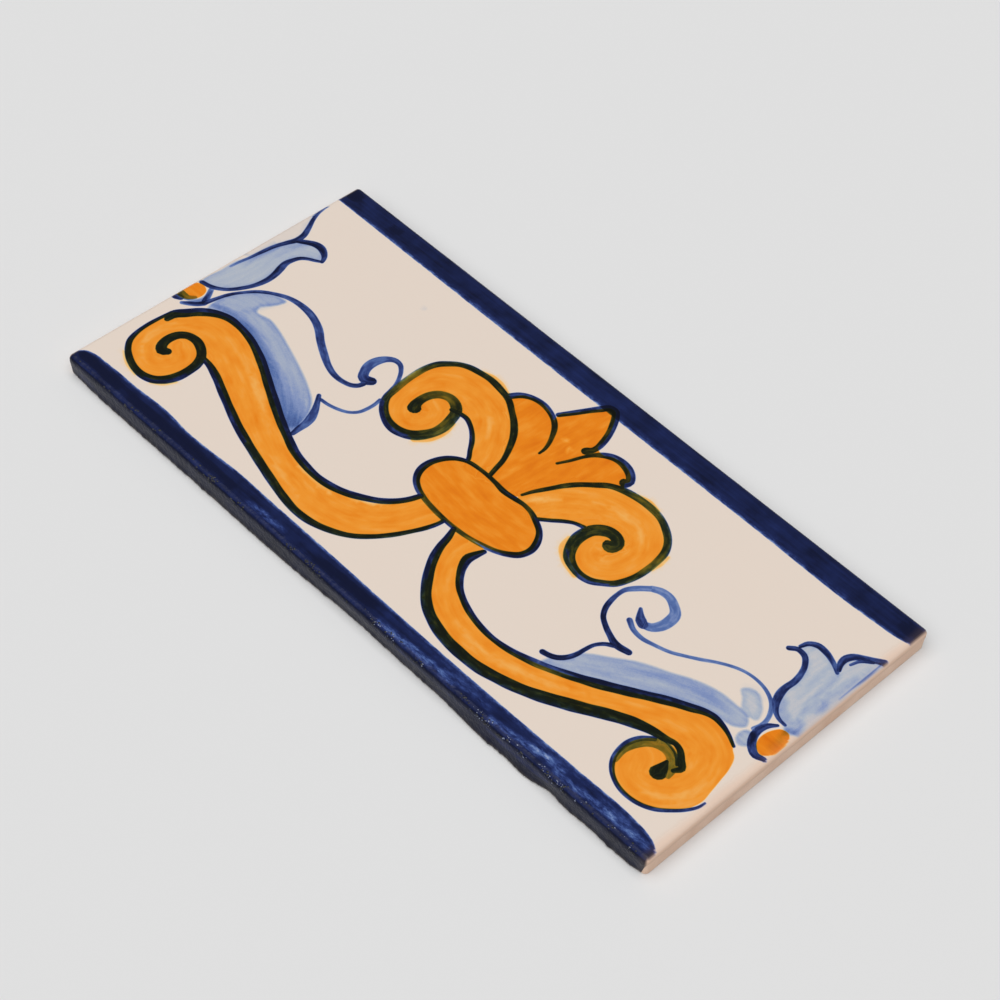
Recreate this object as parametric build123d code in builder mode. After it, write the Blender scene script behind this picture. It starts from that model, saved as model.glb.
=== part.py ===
"""Border tile: one pressed and fired clay tile, 200 x 99 x 6.3 mm.

The tile lies face up. The origin is the middle of its bed, under the glazed face.
+X runs along the length, +Y points to the moulded long side and +Z out of the face.
The long side at -Y isn't moulded: the tile was scored and snapped from a square one
there, so its wall leans and waves between a straight arris and an uneven foot.
All sizes are in millimetres.
"""

import os

from build123d import *

# Driving dimensions of the pressed body
LENGTH = 200.0
WIDTH = 99.0
THICKNESS = 6.3

# Its softened edges: one radius on the face's arris and the upright corners, and a
# smaller one round the foot, where the press left the bed's edge nearly sharp
ARRIS_RADIUS = 1.25
FOOT_RADIUS = 0.3

# The snapped side. The score went this far down from the face, and left a straight
# wall. Below it the break wanders: each pair is a place along X and how far the foot
# stands proud of the arris (+) or is set back from it (-) there.
SCORE_DEPTH = 1.7
SNAP_FOOT = [
    (-100.0, -0.9),
    (-90.0, -0.25),
    (-72.0, -0.1),
    (-36.0, -0.05),
    (-15.0, -0.1),
    (-3.0, -0.6),
    (6.0, -0.85),
    (24.0, -0.5),
    (40.0, -0.15),
    (50.0, 0.5),
    (58.0, 0.3),
    (64.0, 0.6),
    (70.0, -0.65),
    (76.0, -0.2),
    (83.0, -0.45),
    (89.0, -0.2),
    (100.0, -1.0),
]
SNAP_STOCK = 3.0

# Keying on the back: shallow square pockets between flat ribs, for the adhesive. Their
# walls lean outwards by the draft, so that the press could pull free
POCKET_COLUMNS = 8
POCKET_ROWS = 4
POCKET_PITCH = 23.5
RIB_WIDTH = 3.5
POCKET_DEPTH = 0.7
POCKET_CORNER_RADIUS = 2.5
POCKET_DRAFT = 30.0

# Worked out from the driving dimensions
HALF_LENGTH = LENGTH / 2
HALF_WIDTH = WIDTH / 2
SCORE_BOTTOM = THICKNESS - SCORE_DEPTH
POCKET_SIZE = POCKET_PITCH - RIB_WIDTH


def upright_corner(edge):
    """True for an edge that runs down one of the body's four corners."""
    middle = edge.center()
    rises = edge.bounding_box().size.Z > FOOT_RADIUS
    return rises and abs(middle.X) > HALF_LENGTH - ARRIS_RADIUS


with BuildPart() as tile:
    # Pressed body, with spare stock on the side that is to be snapped
    with BuildSketch():
        with Locations((0, -SNAP_STOCK / 2)):
            Rectangle(LENGTH, WIDTH + SNAP_STOCK)
    extrude(amount=THICKNESS)

    # Score: the spare stock comes off straight, down to the score's bottom
    with BuildSketch(Plane.XY.offset(THICKNESS)):
        with Locations((0, -HALF_WIDTH - SNAP_STOCK / 2)):
            Rectangle(LENGTH, SNAP_STOCK)
    extrude(amount=-SCORE_DEPTH, mode=Mode.SUBTRACT)

    # Snap: below the score the stock breaks off along a wall that is ruled from the
    # wandering foot up to the straight score
    with BuildSketch():
        with BuildLine():
            foot = Spline(*[(along, -HALF_WIDTH - proud) for along, proud in SNAP_FOOT])
            Polyline(
                foot @ 1,
                (HALF_LENGTH, -HALF_WIDTH - SNAP_STOCK),
                (-HALF_LENGTH, -HALF_WIDTH - SNAP_STOCK),
                foot @ 0,
            )
        make_face()
    with BuildSketch(Plane.XY.offset(SCORE_BOTTOM)):
        with Locations((0, -HALF_WIDTH - SNAP_STOCK / 2)):
            Rectangle(LENGTH, SNAP_STOCK)
    loft(ruled=True, mode=Mode.SUBTRACT)

    # Soft edges: face and upright corners together, then the foot
    face_edges = tile.faces().sort_by(Axis.Z)[-1].edges()
    corner_edges = tile.edges().filter_by(upright_corner)
    fillet(face_edges + corner_edges, radius=ARRIS_RADIUS)
    bed = tile.faces().sort_by(Axis.Z)[0]
    fillet(bed.edges(), radius=FOOT_RADIUS)

    # Keying pockets, pressed into the back
    with BuildSketch():
        with GridLocations(POCKET_PITCH, POCKET_PITCH, POCKET_COLUMNS, POCKET_ROWS):
            RectangleRounded(POCKET_SIZE, POCKET_SIZE, POCKET_CORNER_RADIUS)
    extrude(amount=POCKET_DEPTH, taper=POCKET_DRAFT, mode=Mode.SUBTRACT)

tile.part.label = "tile"

os.makedirs("parts", exist_ok=True)
export_step(tile.part, "parts/tile.step")
print("tile volume", round(tile.part.volume / 1000, 1), "cm3")
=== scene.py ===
# %% [markdown]
# # A hand-painted border tile
#
# The real thing is one pressed and fired clay tile. Its face was dipped in white tin glaze, and the
# scrolls were painted on the raw glaze with metal oxides: cobalt for the blue, an iron and antimony
# ochre for the orange. The kiln melted paint and glaze together, so the paint has no thickness of its
# own, and where cobalt lies over ochre the two colours multiply into a green black.
#
# This lesson dresses the clay tile in three steps: the clay's own material, then the glaze coat with
# its painting, and last the pale and the dark grit that the snapped edge carries. The pale grit's
# colour is a painted highlight, the glints of light along that edge.

import math

import bpy
import numpy as np
from mathutils import Matrix, Vector, noise
from mathutils.bvhtree import BVHTree
from mathutils.geometry import delaunay_2d_cdt


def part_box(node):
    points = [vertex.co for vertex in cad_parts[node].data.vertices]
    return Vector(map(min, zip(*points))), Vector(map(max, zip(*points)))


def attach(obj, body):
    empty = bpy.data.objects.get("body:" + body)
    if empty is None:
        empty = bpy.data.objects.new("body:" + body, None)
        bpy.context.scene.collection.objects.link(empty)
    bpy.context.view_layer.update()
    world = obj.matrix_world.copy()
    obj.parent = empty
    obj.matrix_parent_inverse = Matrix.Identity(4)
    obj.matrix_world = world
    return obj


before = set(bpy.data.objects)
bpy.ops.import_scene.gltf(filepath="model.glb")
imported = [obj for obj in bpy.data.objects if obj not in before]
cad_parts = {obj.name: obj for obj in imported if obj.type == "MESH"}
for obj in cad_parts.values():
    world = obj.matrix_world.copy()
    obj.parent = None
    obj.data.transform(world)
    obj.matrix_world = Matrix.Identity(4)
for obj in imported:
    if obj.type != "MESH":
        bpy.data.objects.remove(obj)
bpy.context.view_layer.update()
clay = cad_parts["tile"]
clay_low, clay_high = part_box("tile")
print("clay tile", [round(1000 * size, 2) for size in clay_high - clay_low], "mm")

# %% [markdown]
# ## Units and small helpers
#
# Everything on a tile is easiest to think of in millimetres, and Blender works in metres. So the
# lesson keeps millimetres in its numpy arrays and turns them into metres only when a mesh is made.
# Colours are written as a painter would read them off a chart, from 0 to 255, and turned into the
# linear numbers that shaders want.

# %% Units and colours
MM = 0.001


def linear(red, green, blue):
    """A colour from a 0 to 255 chart as linear RGBA."""
    chart = np.array([red, green, blue]) / 255
    low = chart / 12.92
    high = ((chart + 0.055) / 1.055) ** 2.4
    return (*np.where(chart <= 0.04045, low, high), 1.0)


def smoothstep(values):
    """0 below 0, 1 above 1, and an easy slope between."""
    t = np.clip(values, 0, 1)
    return t * t * (3 - 2 * t)


def rising(values, start, over):
    """0 up to start, 1 once over has gone by after it, and an easy slope between."""
    return smoothstep((values - start) / over)


# %% [markdown]
# ## Camera
#
# A product photographer stood well back with a long lens and tipped the camera a little, so the tile
# runs steeply down the frame. Four facts rebuild that view: where the camera stands, the point on
# the table that it looks at, its roll and its lens. They are kept apart, because then each of them
# can be judged by eye.

# %% Camera
CAMERA_PLACE = Vector((271.9, -328.4, 485.4)) * MM
LOOKS_AT = Vector((1.0, 4.11, 0.0)) * MM
CAMERA_ROLL = math.radians(8.09)
LENS_MM = 94.63
SENSOR_MM = 36.0

lens = bpy.data.cameras.new("camera")
lens.lens = LENS_MM
lens.sensor_width = SENSOR_MM
lens.clip_start = 0.01
camera = bpy.data.objects.new("camera", lens)
looking = (LOOKS_AT - CAMERA_PLACE).to_track_quat("-Z", "Y").to_matrix()
rolled = looking @ Matrix.Rotation(CAMERA_ROLL, 3, "Z")
camera.matrix_world = Matrix.Translation(CAMERA_PLACE) @ rolled.to_4x4()
bpy.context.scene.collection.objects.link(camera)
bpy.context.scene.camera = camera
print("camera", round((LOOKS_AT - CAMERA_PLACE).length / MM), "mm from the tile")

# %% [markdown]
# ## Table and light
#
# Glazed ware is lit through something large and soft, or its gloss fills with hard lamps. Here one
# sun with a very wide disc stands for a softbox over the photographer's shoulder, and a dim even
# world fills the shade. Away from the softbox the room is dark, which is what lets the dark glaze
# read as dark. Together they light the table about as brightly as its colour is written.

# %% Table and light
TABLE_GREY = linear(223, 223, 223)
TABLE_HALF = 6.0
ROOM_LIGHT = 0.15
SOFTBOX_POWER = 2.86
SOFTBOX_WIDTH = math.radians(80)
SOFTBOX_TILT = math.radians(20)
SOFTBOX_TURN = math.radians(-80)

table_mesh = bpy.data.meshes.new("table")
corners = [(TABLE_HALF * x, TABLE_HALF * y, 0) for x, y in ((-1, -1), (1, -1), (1, 1), (-1, 1))]
table_mesh.from_pydata(corners, [], [(0, 1, 2, 3)])
table = bpy.data.objects.new("table", table_mesh)
bpy.context.scene.collection.objects.link(table)
table_finish = bpy.data.materials.new("table_paper")
table_finish.use_nodes = True
table_shader = table_finish.node_tree.nodes["Principled BSDF"]
table_shader.inputs["Base Color"].default_value = TABLE_GREY
table_shader.inputs["Roughness"].default_value = 0.9
table_shader.inputs["Specular IOR Level"].default_value = 0.1
table_mesh.materials.append(table_finish)

world = bpy.data.worlds.new("room")
world.use_nodes = True
world.node_tree.nodes["Background"].inputs["Color"].default_value = (1, 1, 1, 1)
world.node_tree.nodes["Background"].inputs["Strength"].default_value = ROOM_LIGHT
bpy.context.scene.world = world

softbox = bpy.data.lights.new("softbox", "SUN")
softbox.energy = SOFTBOX_POWER
softbox.angle = SOFTBOX_WIDTH
softbox_holder = bpy.data.objects.new("softbox", softbox)
softbox_holder.rotation_euler = (SOFTBOX_TILT, 0, SOFTBOX_TURN + math.pi / 2)
bpy.context.scene.collection.objects.link(softbox_holder)
bpy.context.scene.view_settings.view_transform = "Standard"
print("softbox", round(math.degrees(SOFTBOX_WIDTH)), "degrees wide")

# %% [markdown]
# ## A maker's kit for shader trees
#
# Ceramic materials are long chains of small steps, and a list of bare nodes and links hides what
# they mean. The class below keeps them readable: each of its methods adds one kind of node and wires
# it in a single call, and its noise is sized in millimetres. Patterns read Object coordinates,
# because every piece sits at the origin in the tile's own frame.

# %% Shader helpers
class Finish:
    """A material under construction, with its shader and a short way to add nodes."""

    def __init__(self, name):
        self.material = bpy.data.materials.new(name)
        self.material.use_nodes = True
        self.tree = self.material.node_tree
        self.shader = self.tree.nodes["Principled BSDF"]
        self.place = self.add("ShaderNodeTexCoord").outputs["Object"]

    def add(self, kind, inputs=(), **settings):
        """A node of that kind. inputs pairs a socket's name or number with a value or an output."""
        node = self.tree.nodes.new(kind)
        for name, value in settings.items():
            setattr(node, name, value)
        for socket, value in inputs:
            self.feed(node.inputs[socket], value)
        return node

    def feed(self, socket, value):
        """Wires an output into the socket, or sets a plain value."""
        if isinstance(value, bpy.types.NodeSocket):
            self.tree.links.new(value, socket)
        else:
            socket.default_value = value

    def math(self, operation, *values, clamp=False):
        """The result of a Math node."""
        node = self.add("ShaderNodeMath", enumerate(values), operation=operation, use_clamp=clamp)
        return node.outputs[0]

    def plus(self, first, second):
        """The sum of two values."""
        return self.math("ADD", first, second)

    def times(self, first, second):
        """The product of two values."""
        return self.math("MULTIPLY", first, second)

    def noise(self, grain_mm, detail=3.0, roughness=0.5, stretch=(1, 1, 1), where=None):
        """Noise whose grains are about that many millimetres across, stretched along an axis."""
        per_metre = [1 / (grain_mm * MM * times) for times in stretch]
        spread = self.add(
            "ShaderNodeMapping", [("Vector", where or self.place), ("Scale", per_metre)]
        ).outputs[0]
        inputs = [("Vector", spread), ("Scale", 1.0), ("Detail", detail), ("Roughness", roughness)]
        return self.add("ShaderNodeTexNoise", inputs).outputs["Fac"]

    def between(self, value, low, high, to_low=0.0, to_high=1.0):
        """Value from low to high carried to to_low to to_high, and held there outside."""
        limits = {"From Min": low, "From Max": high, "To Min": to_low, "To Max": to_high}
        inputs = [("Value", value), *limits.items()]
        return self.add("ShaderNodeMapRange", inputs, clamp=True).outputs[0]

    def swing(self, value, to_low, to_high):
        """Noise spread over to_low to to_high, because nearly all of it lies between 0.3 and 0.7."""
        return self.between(value, 0.3, 0.7, to_low, to_high)

    def stored(self, name, output="Fac"):
        """A value that the mesh stores on its points under that name."""
        settings = {"attribute_type": "GEOMETRY", "attribute_name": name}
        return self.add("ShaderNodeAttribute", **settings).outputs[output]

    def ramp(self, value, stops):
        """The colour of a ramp at value, from (position, colour) stops."""
        node = self.add("ShaderNodeValToRGB", [("Fac", value)])
        elements = node.color_ramp.elements
        while len(elements) < len(stops):
            elements.new(1.0)
        for element, (position, colour) in zip(elements, stops):
            element.position = position
            element.color = colour
        return node.outputs["Color"]

    def mix(self, share, under, over, blend="MIX"):
        """Two colours mixed, with share of the second laid over the first."""
        node = self.add("ShaderNodeMix", data_type="RGBA", blend_type=blend, clamp_factor=True)
        self.feed(node.inputs["Factor"], share)
        self.feed(node.inputs[6], under)
        self.feed(node.inputs[7], over)
        return node.outputs[2]

    def bump(self, height, depth_mm):
        """Feeds a height from 0 to 1, that many millimetres deep, to the shader's normal."""
        inputs = [("Height", height), ("Strength", 1.0), ("Distance", depth_mm * MM)]
        normal = self.add("ShaderNodeBump", inputs).outputs["Normal"]
        self.feed(self.shader.inputs["Normal"], normal)


# %% [markdown]
# ## Bare clay
#
# The ends and the back are the fired body itself: pale, dry and a little pink, with fine grog and the
# small chips of handling. It is a dust-pressed body, so the grain is finer than a brick's. The CAD
# node already has the right shape, and only takes this material.

# %% Bare clay
CLAY_PALE = linear(240, 211, 190)
CLAY_WARM = linear(228, 193, 169)
GROG_BROWN = linear(150, 118, 95)
GROG_GRAIN = 0.35
GROG_DEPTH = 0.05
CLOUD_GRAIN = 9.0

biscuit = Finish("fired_clay")
clouds = biscuit.noise(CLOUD_GRAIN, detail=4.0)
grog = biscuit.noise(GROG_GRAIN, detail=2.0, roughness=0.6)
tone = biscuit.mix(biscuit.between(clouds, 0.35, 0.65), CLAY_PALE, CLAY_WARM)
speckled = biscuit.mix(biscuit.between(grog, 0.62, 0.8, 0.0, 0.35), tone, GROG_BROWN)
biscuit.feed(biscuit.shader.inputs["Base Color"], speckled)
biscuit.shader.inputs["Roughness"].default_value = 0.88
biscuit.shader.inputs["Specular IOR Level"].default_value = 0.25
biscuit.bump(grog, GROG_DEPTH)
clay.data.materials.clear()
clay.data.materials.append(biscuit.material)
print("clay slots", [m.name for m in clay.data.materials])

# %% [markdown]
# ## How a brush stroke is written down
#
# A stroke is a list of places that the brush passed, each with the width it was pressed to and, where
# it matters, how much paint it carried. A smooth curve through those few points gives the rest. This
# is how a painter would describe it, and it takes far fewer numbers than an outline of each stroke.
# No hand presses quite evenly, so the width also trembles a little along the way.

# %% Brush curves
CUT = 0.7
ROW_LENGTH = 4
TREMBLE = 0.05
TREMBLE_FAST = 0.6
TREMBLE_SLOW = 0.23
LEAST_REACH = 0.03
CAP_POINTS = 5


def curve_through(points, closed=False, cut=CUT):
    """A smooth curve through rows of x, y, width and load, cut into even short steps.

    A row that leaves out its width or load has 1 there.
    """
    filled_up = [tuple(point) + (1.0,) * (ROW_LENGTH - len(point)) for point in points]
    rows = np.array(filled_up, float)
    if closed:
        rows = np.vstack([rows[-2:], rows, rows[:2]])
    gaps = np.hypot(*np.diff(rows[:, :2], axis=0).T)
    knots = np.concatenate([[0], np.cumsum(gaps)])
    slopes = np.gradient(rows, knots, axis=0)
    start, end = (knots[2], knots[-2]) if closed else (0, knots[-1])
    count = max(4, int(round((end - start) / cut)))
    where = np.linspace(start, end, count + 1)
    if closed:
        where = where[:-1]
    span = np.clip(np.searchsorted(knots, where, side="right") - 1, 0, len(gaps) - 1)
    t = ((where - knots[span]) / gaps[span])[:, None]
    size = gaps[span][:, None]
    here, there = rows[span], rows[span + 1]
    leave, arrive = slopes[span] * size, slopes[span + 1] * size
    curve = (
        (2 * t**3 - 3 * t**2 + 1) * here
        + (t**3 - 2 * t**2 + t) * leave
        + (3 * t**2 - 2 * t**3) * there
        + (t**3 - t**2) * arrive
    )
    curve[:, 2:] = (1 - t) * here[:, 2:] + t * there[:, 2:]
    fast = np.sin(TREMBLE_FAST * where + rows[0, 0])
    slow = np.sin(TREMBLE_SLOW * where + rows[0, 1])
    curve[:, 2] *= 1 + TREMBLE * fast * slow
    return curve


def rail_beside(curve, reach, closed=False):
    """The closed lines that run round a stroke, reach millimetres from its middle at each row."""
    middle = curve[:, :2]
    if closed:
        ahead = np.roll(middle, -1, axis=0) - np.roll(middle, 1, axis=0)
    else:
        ahead = np.gradient(middle, axis=0)
    ahead /= np.maximum(np.hypot(*ahead.T), 1e-9)[:, None]
    left = np.stack([-ahead[:, 1], ahead[:, 0]], axis=1)
    reach = np.maximum(reach, LEAST_REACH)[:, None]
    if closed:
        return [middle + left * reach, middle - left * reach]
    turns = np.linspace(0, math.pi, CAP_POINTS + 2)[1:-1, None]
    tip = middle[-1] + reach[-1] * (np.cos(turns) * left[-1] + np.sin(turns) * ahead[-1])
    tail = middle[0] + reach[0] * (-np.cos(turns) * left[0] - np.sin(turns) * ahead[0])
    return [np.vstack([middle + left * reach, tip, (middle - left * reach)[::-1], tail])]


# %% [markdown]
# ## The scrolls' outlines
#
# The outlines were drawn in cobalt with a pointed liner brush, freehand over a pounced guide: the
# hand presses into each curve and lifts at its ends. Each list follows one pull of the brush, in
# millimetres from the middle of the tile. Third comes the width, and fourth, where it isn't full,
# the load of paint. The last list joins all strokes, each with how far its paint was thinned.

# %% Outlines of the boss and the upper scrolls
BOSS = [
    (-10, 2.2, 1.3), (-5, 3, 1.2, 0.8), (0, 2.8, 1.3, 0.9), (3, 2.4, 1.7), (7, 2.8, 1.5),
    (9.5, 3.1, 1.3, 0.7), (12, 2.8, 1.4, 0.8), (15, 1.6, 1.5), (18, -0.2, 1.6), (20, -3, 1.9),
    (20.8, -6, 2.0), (20, -9, 1.9), (18, -11, 1.7, 0.9), (15.5, -12.5, 1.6, 0.7),
    (12, -13.7, 1.5, 0.56), (8, -14.6, 1.4, 0.56), (4, -15, 1.4, 0.64), (0, -15, 1.4, 0.8),
    (-4, -14.7, 1.5, 0.6), (-8, -14, 1.6, 0.64), (-11, -13, 1.7, 0.8), (-13.5, -11.2, 1.8),
    (-15, -8.5, 1.9), (-15.3, -5.5, 1.9), (-14.5, -2.5, 1.8), (-12.5, 0.5, 1.5),
]
LEFT_SCROLL = [
    (-2.7, 3.4, 1.2), (-3.4, 6.3, 1.3), (-4, 9, 1.4), (-4.9, 11.3, 1.5), (-6, 13.5, 1.6),
    (-8.5, 17.5, 1.9), (-12, 21, 1.8), (-14.5, 22.8, 1.7), (-17.5, 24.8, 1.8), (-22, 26, 1.9),
    (-25.5, 26.4, 1.9), (-29, 26, 1.9), (-32, 25.3, 1.9), (-34.5, 24, 1.8), (-36.5, 22, 1.8),
    (-38, 20, 1.9), (-39, 17, 1.9, 0.75), (-39.3, 13, 2.0, 0.45), (-39.2, 10, 2.0, 0.48),
    (-38.8, 6, 2.0, 0.6), (-37.9, 1.4, 2.1), (-36.3, -0.8, 2.3), (-34, -2.6, 2.6),
    (-31.4, -3.7, 2.9), (-28.9, -3.9, 3.1), (-26.5, -3.2, 3.1), (-24.3, -1.7, 3.1),
    (-22.8, 0.5, 3.1, 0.8), (-21.8, 3, 3.0, 0.7), (-21.6, 6, 3.0, 0.75), (-22.2, 9, 3.0, 0.8),
    (-23.4, 12, 2.9, 0.9), (-25.5, 13.6, 2.8, 0.8), (-27.5, 14, 2.8, 0.56),
    (-30.2, 12.8, 2.7, 0.56), (-31.4, 11, 2.6, 0.62), (-31.9, 9, 2.6, 0.8), (-31.9, 7, 2.7),
    (-31.6, 5.6, 3.0), (-31, 4.7, 3.5),
]
LEFT_SCROLL_INNER = [
    (-24.5, 11.5, 1.3), (-22, 12.2, 1.4), (-20, 12.3, 1.4), (-18, 11.5, 1.3), (-15.5, 9.8, 1.3),
    (-13.5, 7.8, 1.3), (-11.8, 5.5, 1.2), (-10, 3.2, 1.2), (-9.7, 2.6, 1.1),
]
LEAFLET_LEFT = [
    (-18.5, 26, 2.0), (-17, 28.3, 1.9), (-14.5, 30, 1.8), (-11, 30.6, 1.8), (-8, 30, 1.7),
    (-5.5, 28.8, 1.6), (-3.5, 27, 1.5), (-2, 24.7, 1.3), (-0.7, 22, 1.1), (-0.1, 20, 0.9),
    (0, 18, 0.7),
]
LEAF_MIDDLE = [
    (-6, 31, 1.5), (-4, 34.5, 1.7), (-2.1, 38, 1.9), (-0.5, 40.7, 2.0), (1.1, 42.9, 1.9),
    (2.4, 43, 1.9), (3.9, 41.4, 2.0), (5.5, 38.8, 2.0), (6.8, 36, 2.0), (7.7, 33, 1.9),
    (8.1, 30.6, 1.7), (7.9, 29, 1.7), (7.2, 27.8, 2.3), (7, 27.4, 2.3),
]
LEAFLET_RIGHT = [
    (5.2, 19, 0.8), (6.6, 22, 0.9), (8, 25.6, 1.0), (9.2, 27.9, 1.4), (10.8, 29.8, 1.9),
    (13, 31.2, 2.3), (16, 31.6, 2.5), (18.6, 30.9, 2.5), (20.5, 29.5, 2.4), (21.2, 28.3, 2.4),
    (20.7, 27.3, 3.1),
]
RIGHT_SCROLL = [
    (6.9, 5, 0.8), (7.8, 7.5, 1.1), (9, 10, 1.3), (10, 12, 1.4), (11.5, 15, 1.5), (13.5, 18, 1.6),
    (16, 20.8, 1.7), (19, 23.8, 1.9), (22, 25.2, 2.1, 0.9), (26, 26.1, 2.2, 0.76),
    (30, 26.3, 2.2, 0.72), (34, 25.7, 2.1, 0.8), (37.5, 24, 2.0), (40.5, 21.5, 2.0),
    (42.3, 18.5, 2.0), (43, 15, 2.0, 0.6), (43.2, 11, 1.9, 0.7), (43, 8, 1.8), (42.3, 5, 1.8),
    (41, 2, 1.9), (39, 0, 2.0), (36.5, -1.8, 2.2), (34, -2.3, 2.3), (31, -1.8, 2.4),
    (28.2, -0.3, 2.8), (26.3, 2.5, 3.2), (25.4, 5.5, 3.4), (25.5, 8.1, 3.5), (26, 9.9, 3.5),
    (27.4, 11.7, 3.5), (29.2, 12.8, 3.4), (31.2, 12.9, 3.3), (32.8, 11.9, 3.4), (33, 10.8, 3.7),
    (32.4, 9.9, 4.3),
]
RIGHT_SCROLL_INNER = [
    (15, 2.5, 1.2), (17.3, 4.6, 1.2), (19.4, 6.7, 1.2), (21.5, 8.3, 1.2), (24, 9.2, 1.3),
]

# %% Outlines of the long stems and their volutes
LEFT_STEM_UPPER = [
    (-8.8, -14.2, 1.5), (-9.8, -17, 1.6), (-11.5, -20, 1.8), (-14, -22.8, 1.9), (-17, -25, 2.0),
    (-21, -27.3, 2.1), (-25, -28.7, 2.2), (-29, -29.3, 2.2), (-34, -29, 2.2), (-39, -28, 2.3),
    (-44, -26, 2.4), (-49, -23.8, 2.5), (-54, -21.2, 2.6), (-60, -18, 2.6), (-65, -15.2, 2.5),
    (-70, -12.8, 2.3), (-75, -11, 2.1), (-80, -10.2, 2.0), (-84, -10.3, 2.2), (-87.5, -11.8, 2.6),
    (-90.5, -14.5, 3.0), (-92.5, -17.5, 3.1), (-94, -20, 2.8), (-93.8, -22.5, 1.6),
]
LEFT_VOLUTE = [
    (-94.9, -20, 1.1), (-95.3, -24, 1.1), (-95.4, -28, 1.2), (-95, -31.5, 1.3), (-94, -34.5, 1.5),
    (-92, -36.8, 1.7), (-89, -38.7, 1.9), (-86, -39.7, 2.1), (-83, -39.9, 2.3), (-80, -38.9, 2.6),
    (-77.8, -36.5, 2.8), (-76.7, -33.5, 2.8), (-76.5, -30, 2.7), (-76.9, -27, 2.6),
    (-78, -24.8, 2.5), (-80.5, -22.7, 2.5), (-83.5, -21.8, 2.5), (-86.2, -22.5, 2.6),
    (-87.7, -24.2, 2.6), (-88.2, -26.3, 2.6), (-88, -28.4, 2.7), (-87.1, -30.1, 2.9),
    (-86, -30.6, 3.1), (-85, -29.9, 2.2),
]
LEFT_STEM_LOWER = [
    (-78.5, -24.5, 1.6), (-75, -24.8, 1.9), (-71, -26, 2.2), (-66, -28.2, 2.3), (-60, -30.8, 2.4),
    (-54, -33.2, 2.4), (-48, -35.1, 2.4), (-42, -36.8, 2.4), (-36, -38.4, 2.3), (-30, -39.8, 2.3),
    (-25, -40.5, 2.2), (-20, -40.1, 2.0), (-15, -38.4, 1.8), (-10.5, -35.7, 1.6), (-7, -32, 1.4),
    (-4, -27.5, 1.4), (-2, -23.5, 1.3), (-0.5, -20, 1.3), (0.4, -16.5, 1.2), (0.5, -15.5, 1.2),
]
RIGHT_STEM_LOWER = [
    (3.9, -15.3, 1.3), (4.9, -18, 1.8), (5.8, -21.5, 2.2), (7.2, -25, 2.4), (9.3, -28.5, 2.5),
    (11.8, -31.8, 2.6), (14.7, -34.9, 2.7), (18, -37.3, 2.8), (22, -39.0, 2.9), (27, -40.2, 3.1),
    (32, -40.5, 3.2), (37, -40.3, 3.1), (42, -39.2, 3.1), (47, -37.7, 3.2), (52, -35.6, 3.3),
    (57, -32.9, 3.5), (62, -30, 3.6), (67, -26.9, 3.4), (72, -24.3, 3.1), (76.5, -22.7, 2.6),
    (80.5, -21.9, 1.9), (82.5, -21.3, 1.5), (84.5, -21.9, 1.6), (86.5, -23.7, 1.7),
    (88.2, -25.5, 1.8), (87.3, -27.2, 1.2),
]
RIGHT_STEM_UPPER = [
    (13.8, -14.8, 1.4), (13.2, -17, 2.2), (12.8, -19, 2.6), (13.8, -22, 2.2), (15.5, -24.5, 1.9),
    (18, -27, 1.8), (21, -28.8, 1.7), (25, -30.4, 1.7), (29.5, -31.4, 1.6), (34, -31.7, 1.6),
    (38.5, -31.2, 1.8), (43, -30, 2.1, 0.8), (47, -28.6, 2.3, 0.6), (51, -26.8, 2.4, 0.7),
    (55, -24.8, 2.6), (60, -22, 2.8), (65, -18.9, 2.8), (70, -15.7, 2.7), (74, -13.2, 2.6),
    (78, -11.1, 2.4), (81, -9.5, 2.1), (83.5, -8.9, 1.8), (86, -9.2, 1.4), (88.5, -10, 1.1),
    (91.8, -11.7, 0.8),
]
RIGHT_VOLUTE = [
    (78.4, -24, 1.4, 0.7), (76.2, -26.4, 1.6, 0.66), (75.2, -29.2, 1.6, 0.7),
    (75.2, -32, 1.5, 0.75), (76, -35, 1.3, 0.8), (78, -37.6, 1.2, 0.8), (81, -39.4, 1.2, 0.8),
    (84.5, -40.1, 1.2, 0.85), (88, -39.7, 1.2, 0.85), (91.5, -38.1, 1.1, 0.85),
    (94.4, -35.4, 1.0, 0.8), (96.7, -32.4, 0.9, 0.8), (97.8, -30, 0.8, 0.7), (98, -28.3, 0.6, 0.6),
]
RIGHT_VOLUTE_CURL = [
    (76.6, -35, 1.2, 0.3), (76, -31.5, 1.6, 0.42), (76.6, -28.5, 2.0, 0.44), (77.8, -26, 2.8, 0.4),
    (80, -24.3, 3.0, 0.36), (82.8, -23.9, 3.0, 0.34), (85, -25, 2.8, 0.36), (86.8, -27.3, 2.4, 0.4),
    (87.6, -29.3, 1.2, 0.4),
]
RIGHT_VOLUTE_DROP = [(84.6, -26.5, 1.0), (85, -28.2, 2.6), (85.3, -30.1, 4.1)]
RIGHT_VOLUTE_THREAD = [
    (79.5, -22.6, 0.7, 0.7), (82, -22.7, 0.6, 0.7), (84.6, -23.5, 0.7, 0.75),
    (86.7, -25.3, 0.9, 0.8),
]

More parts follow.
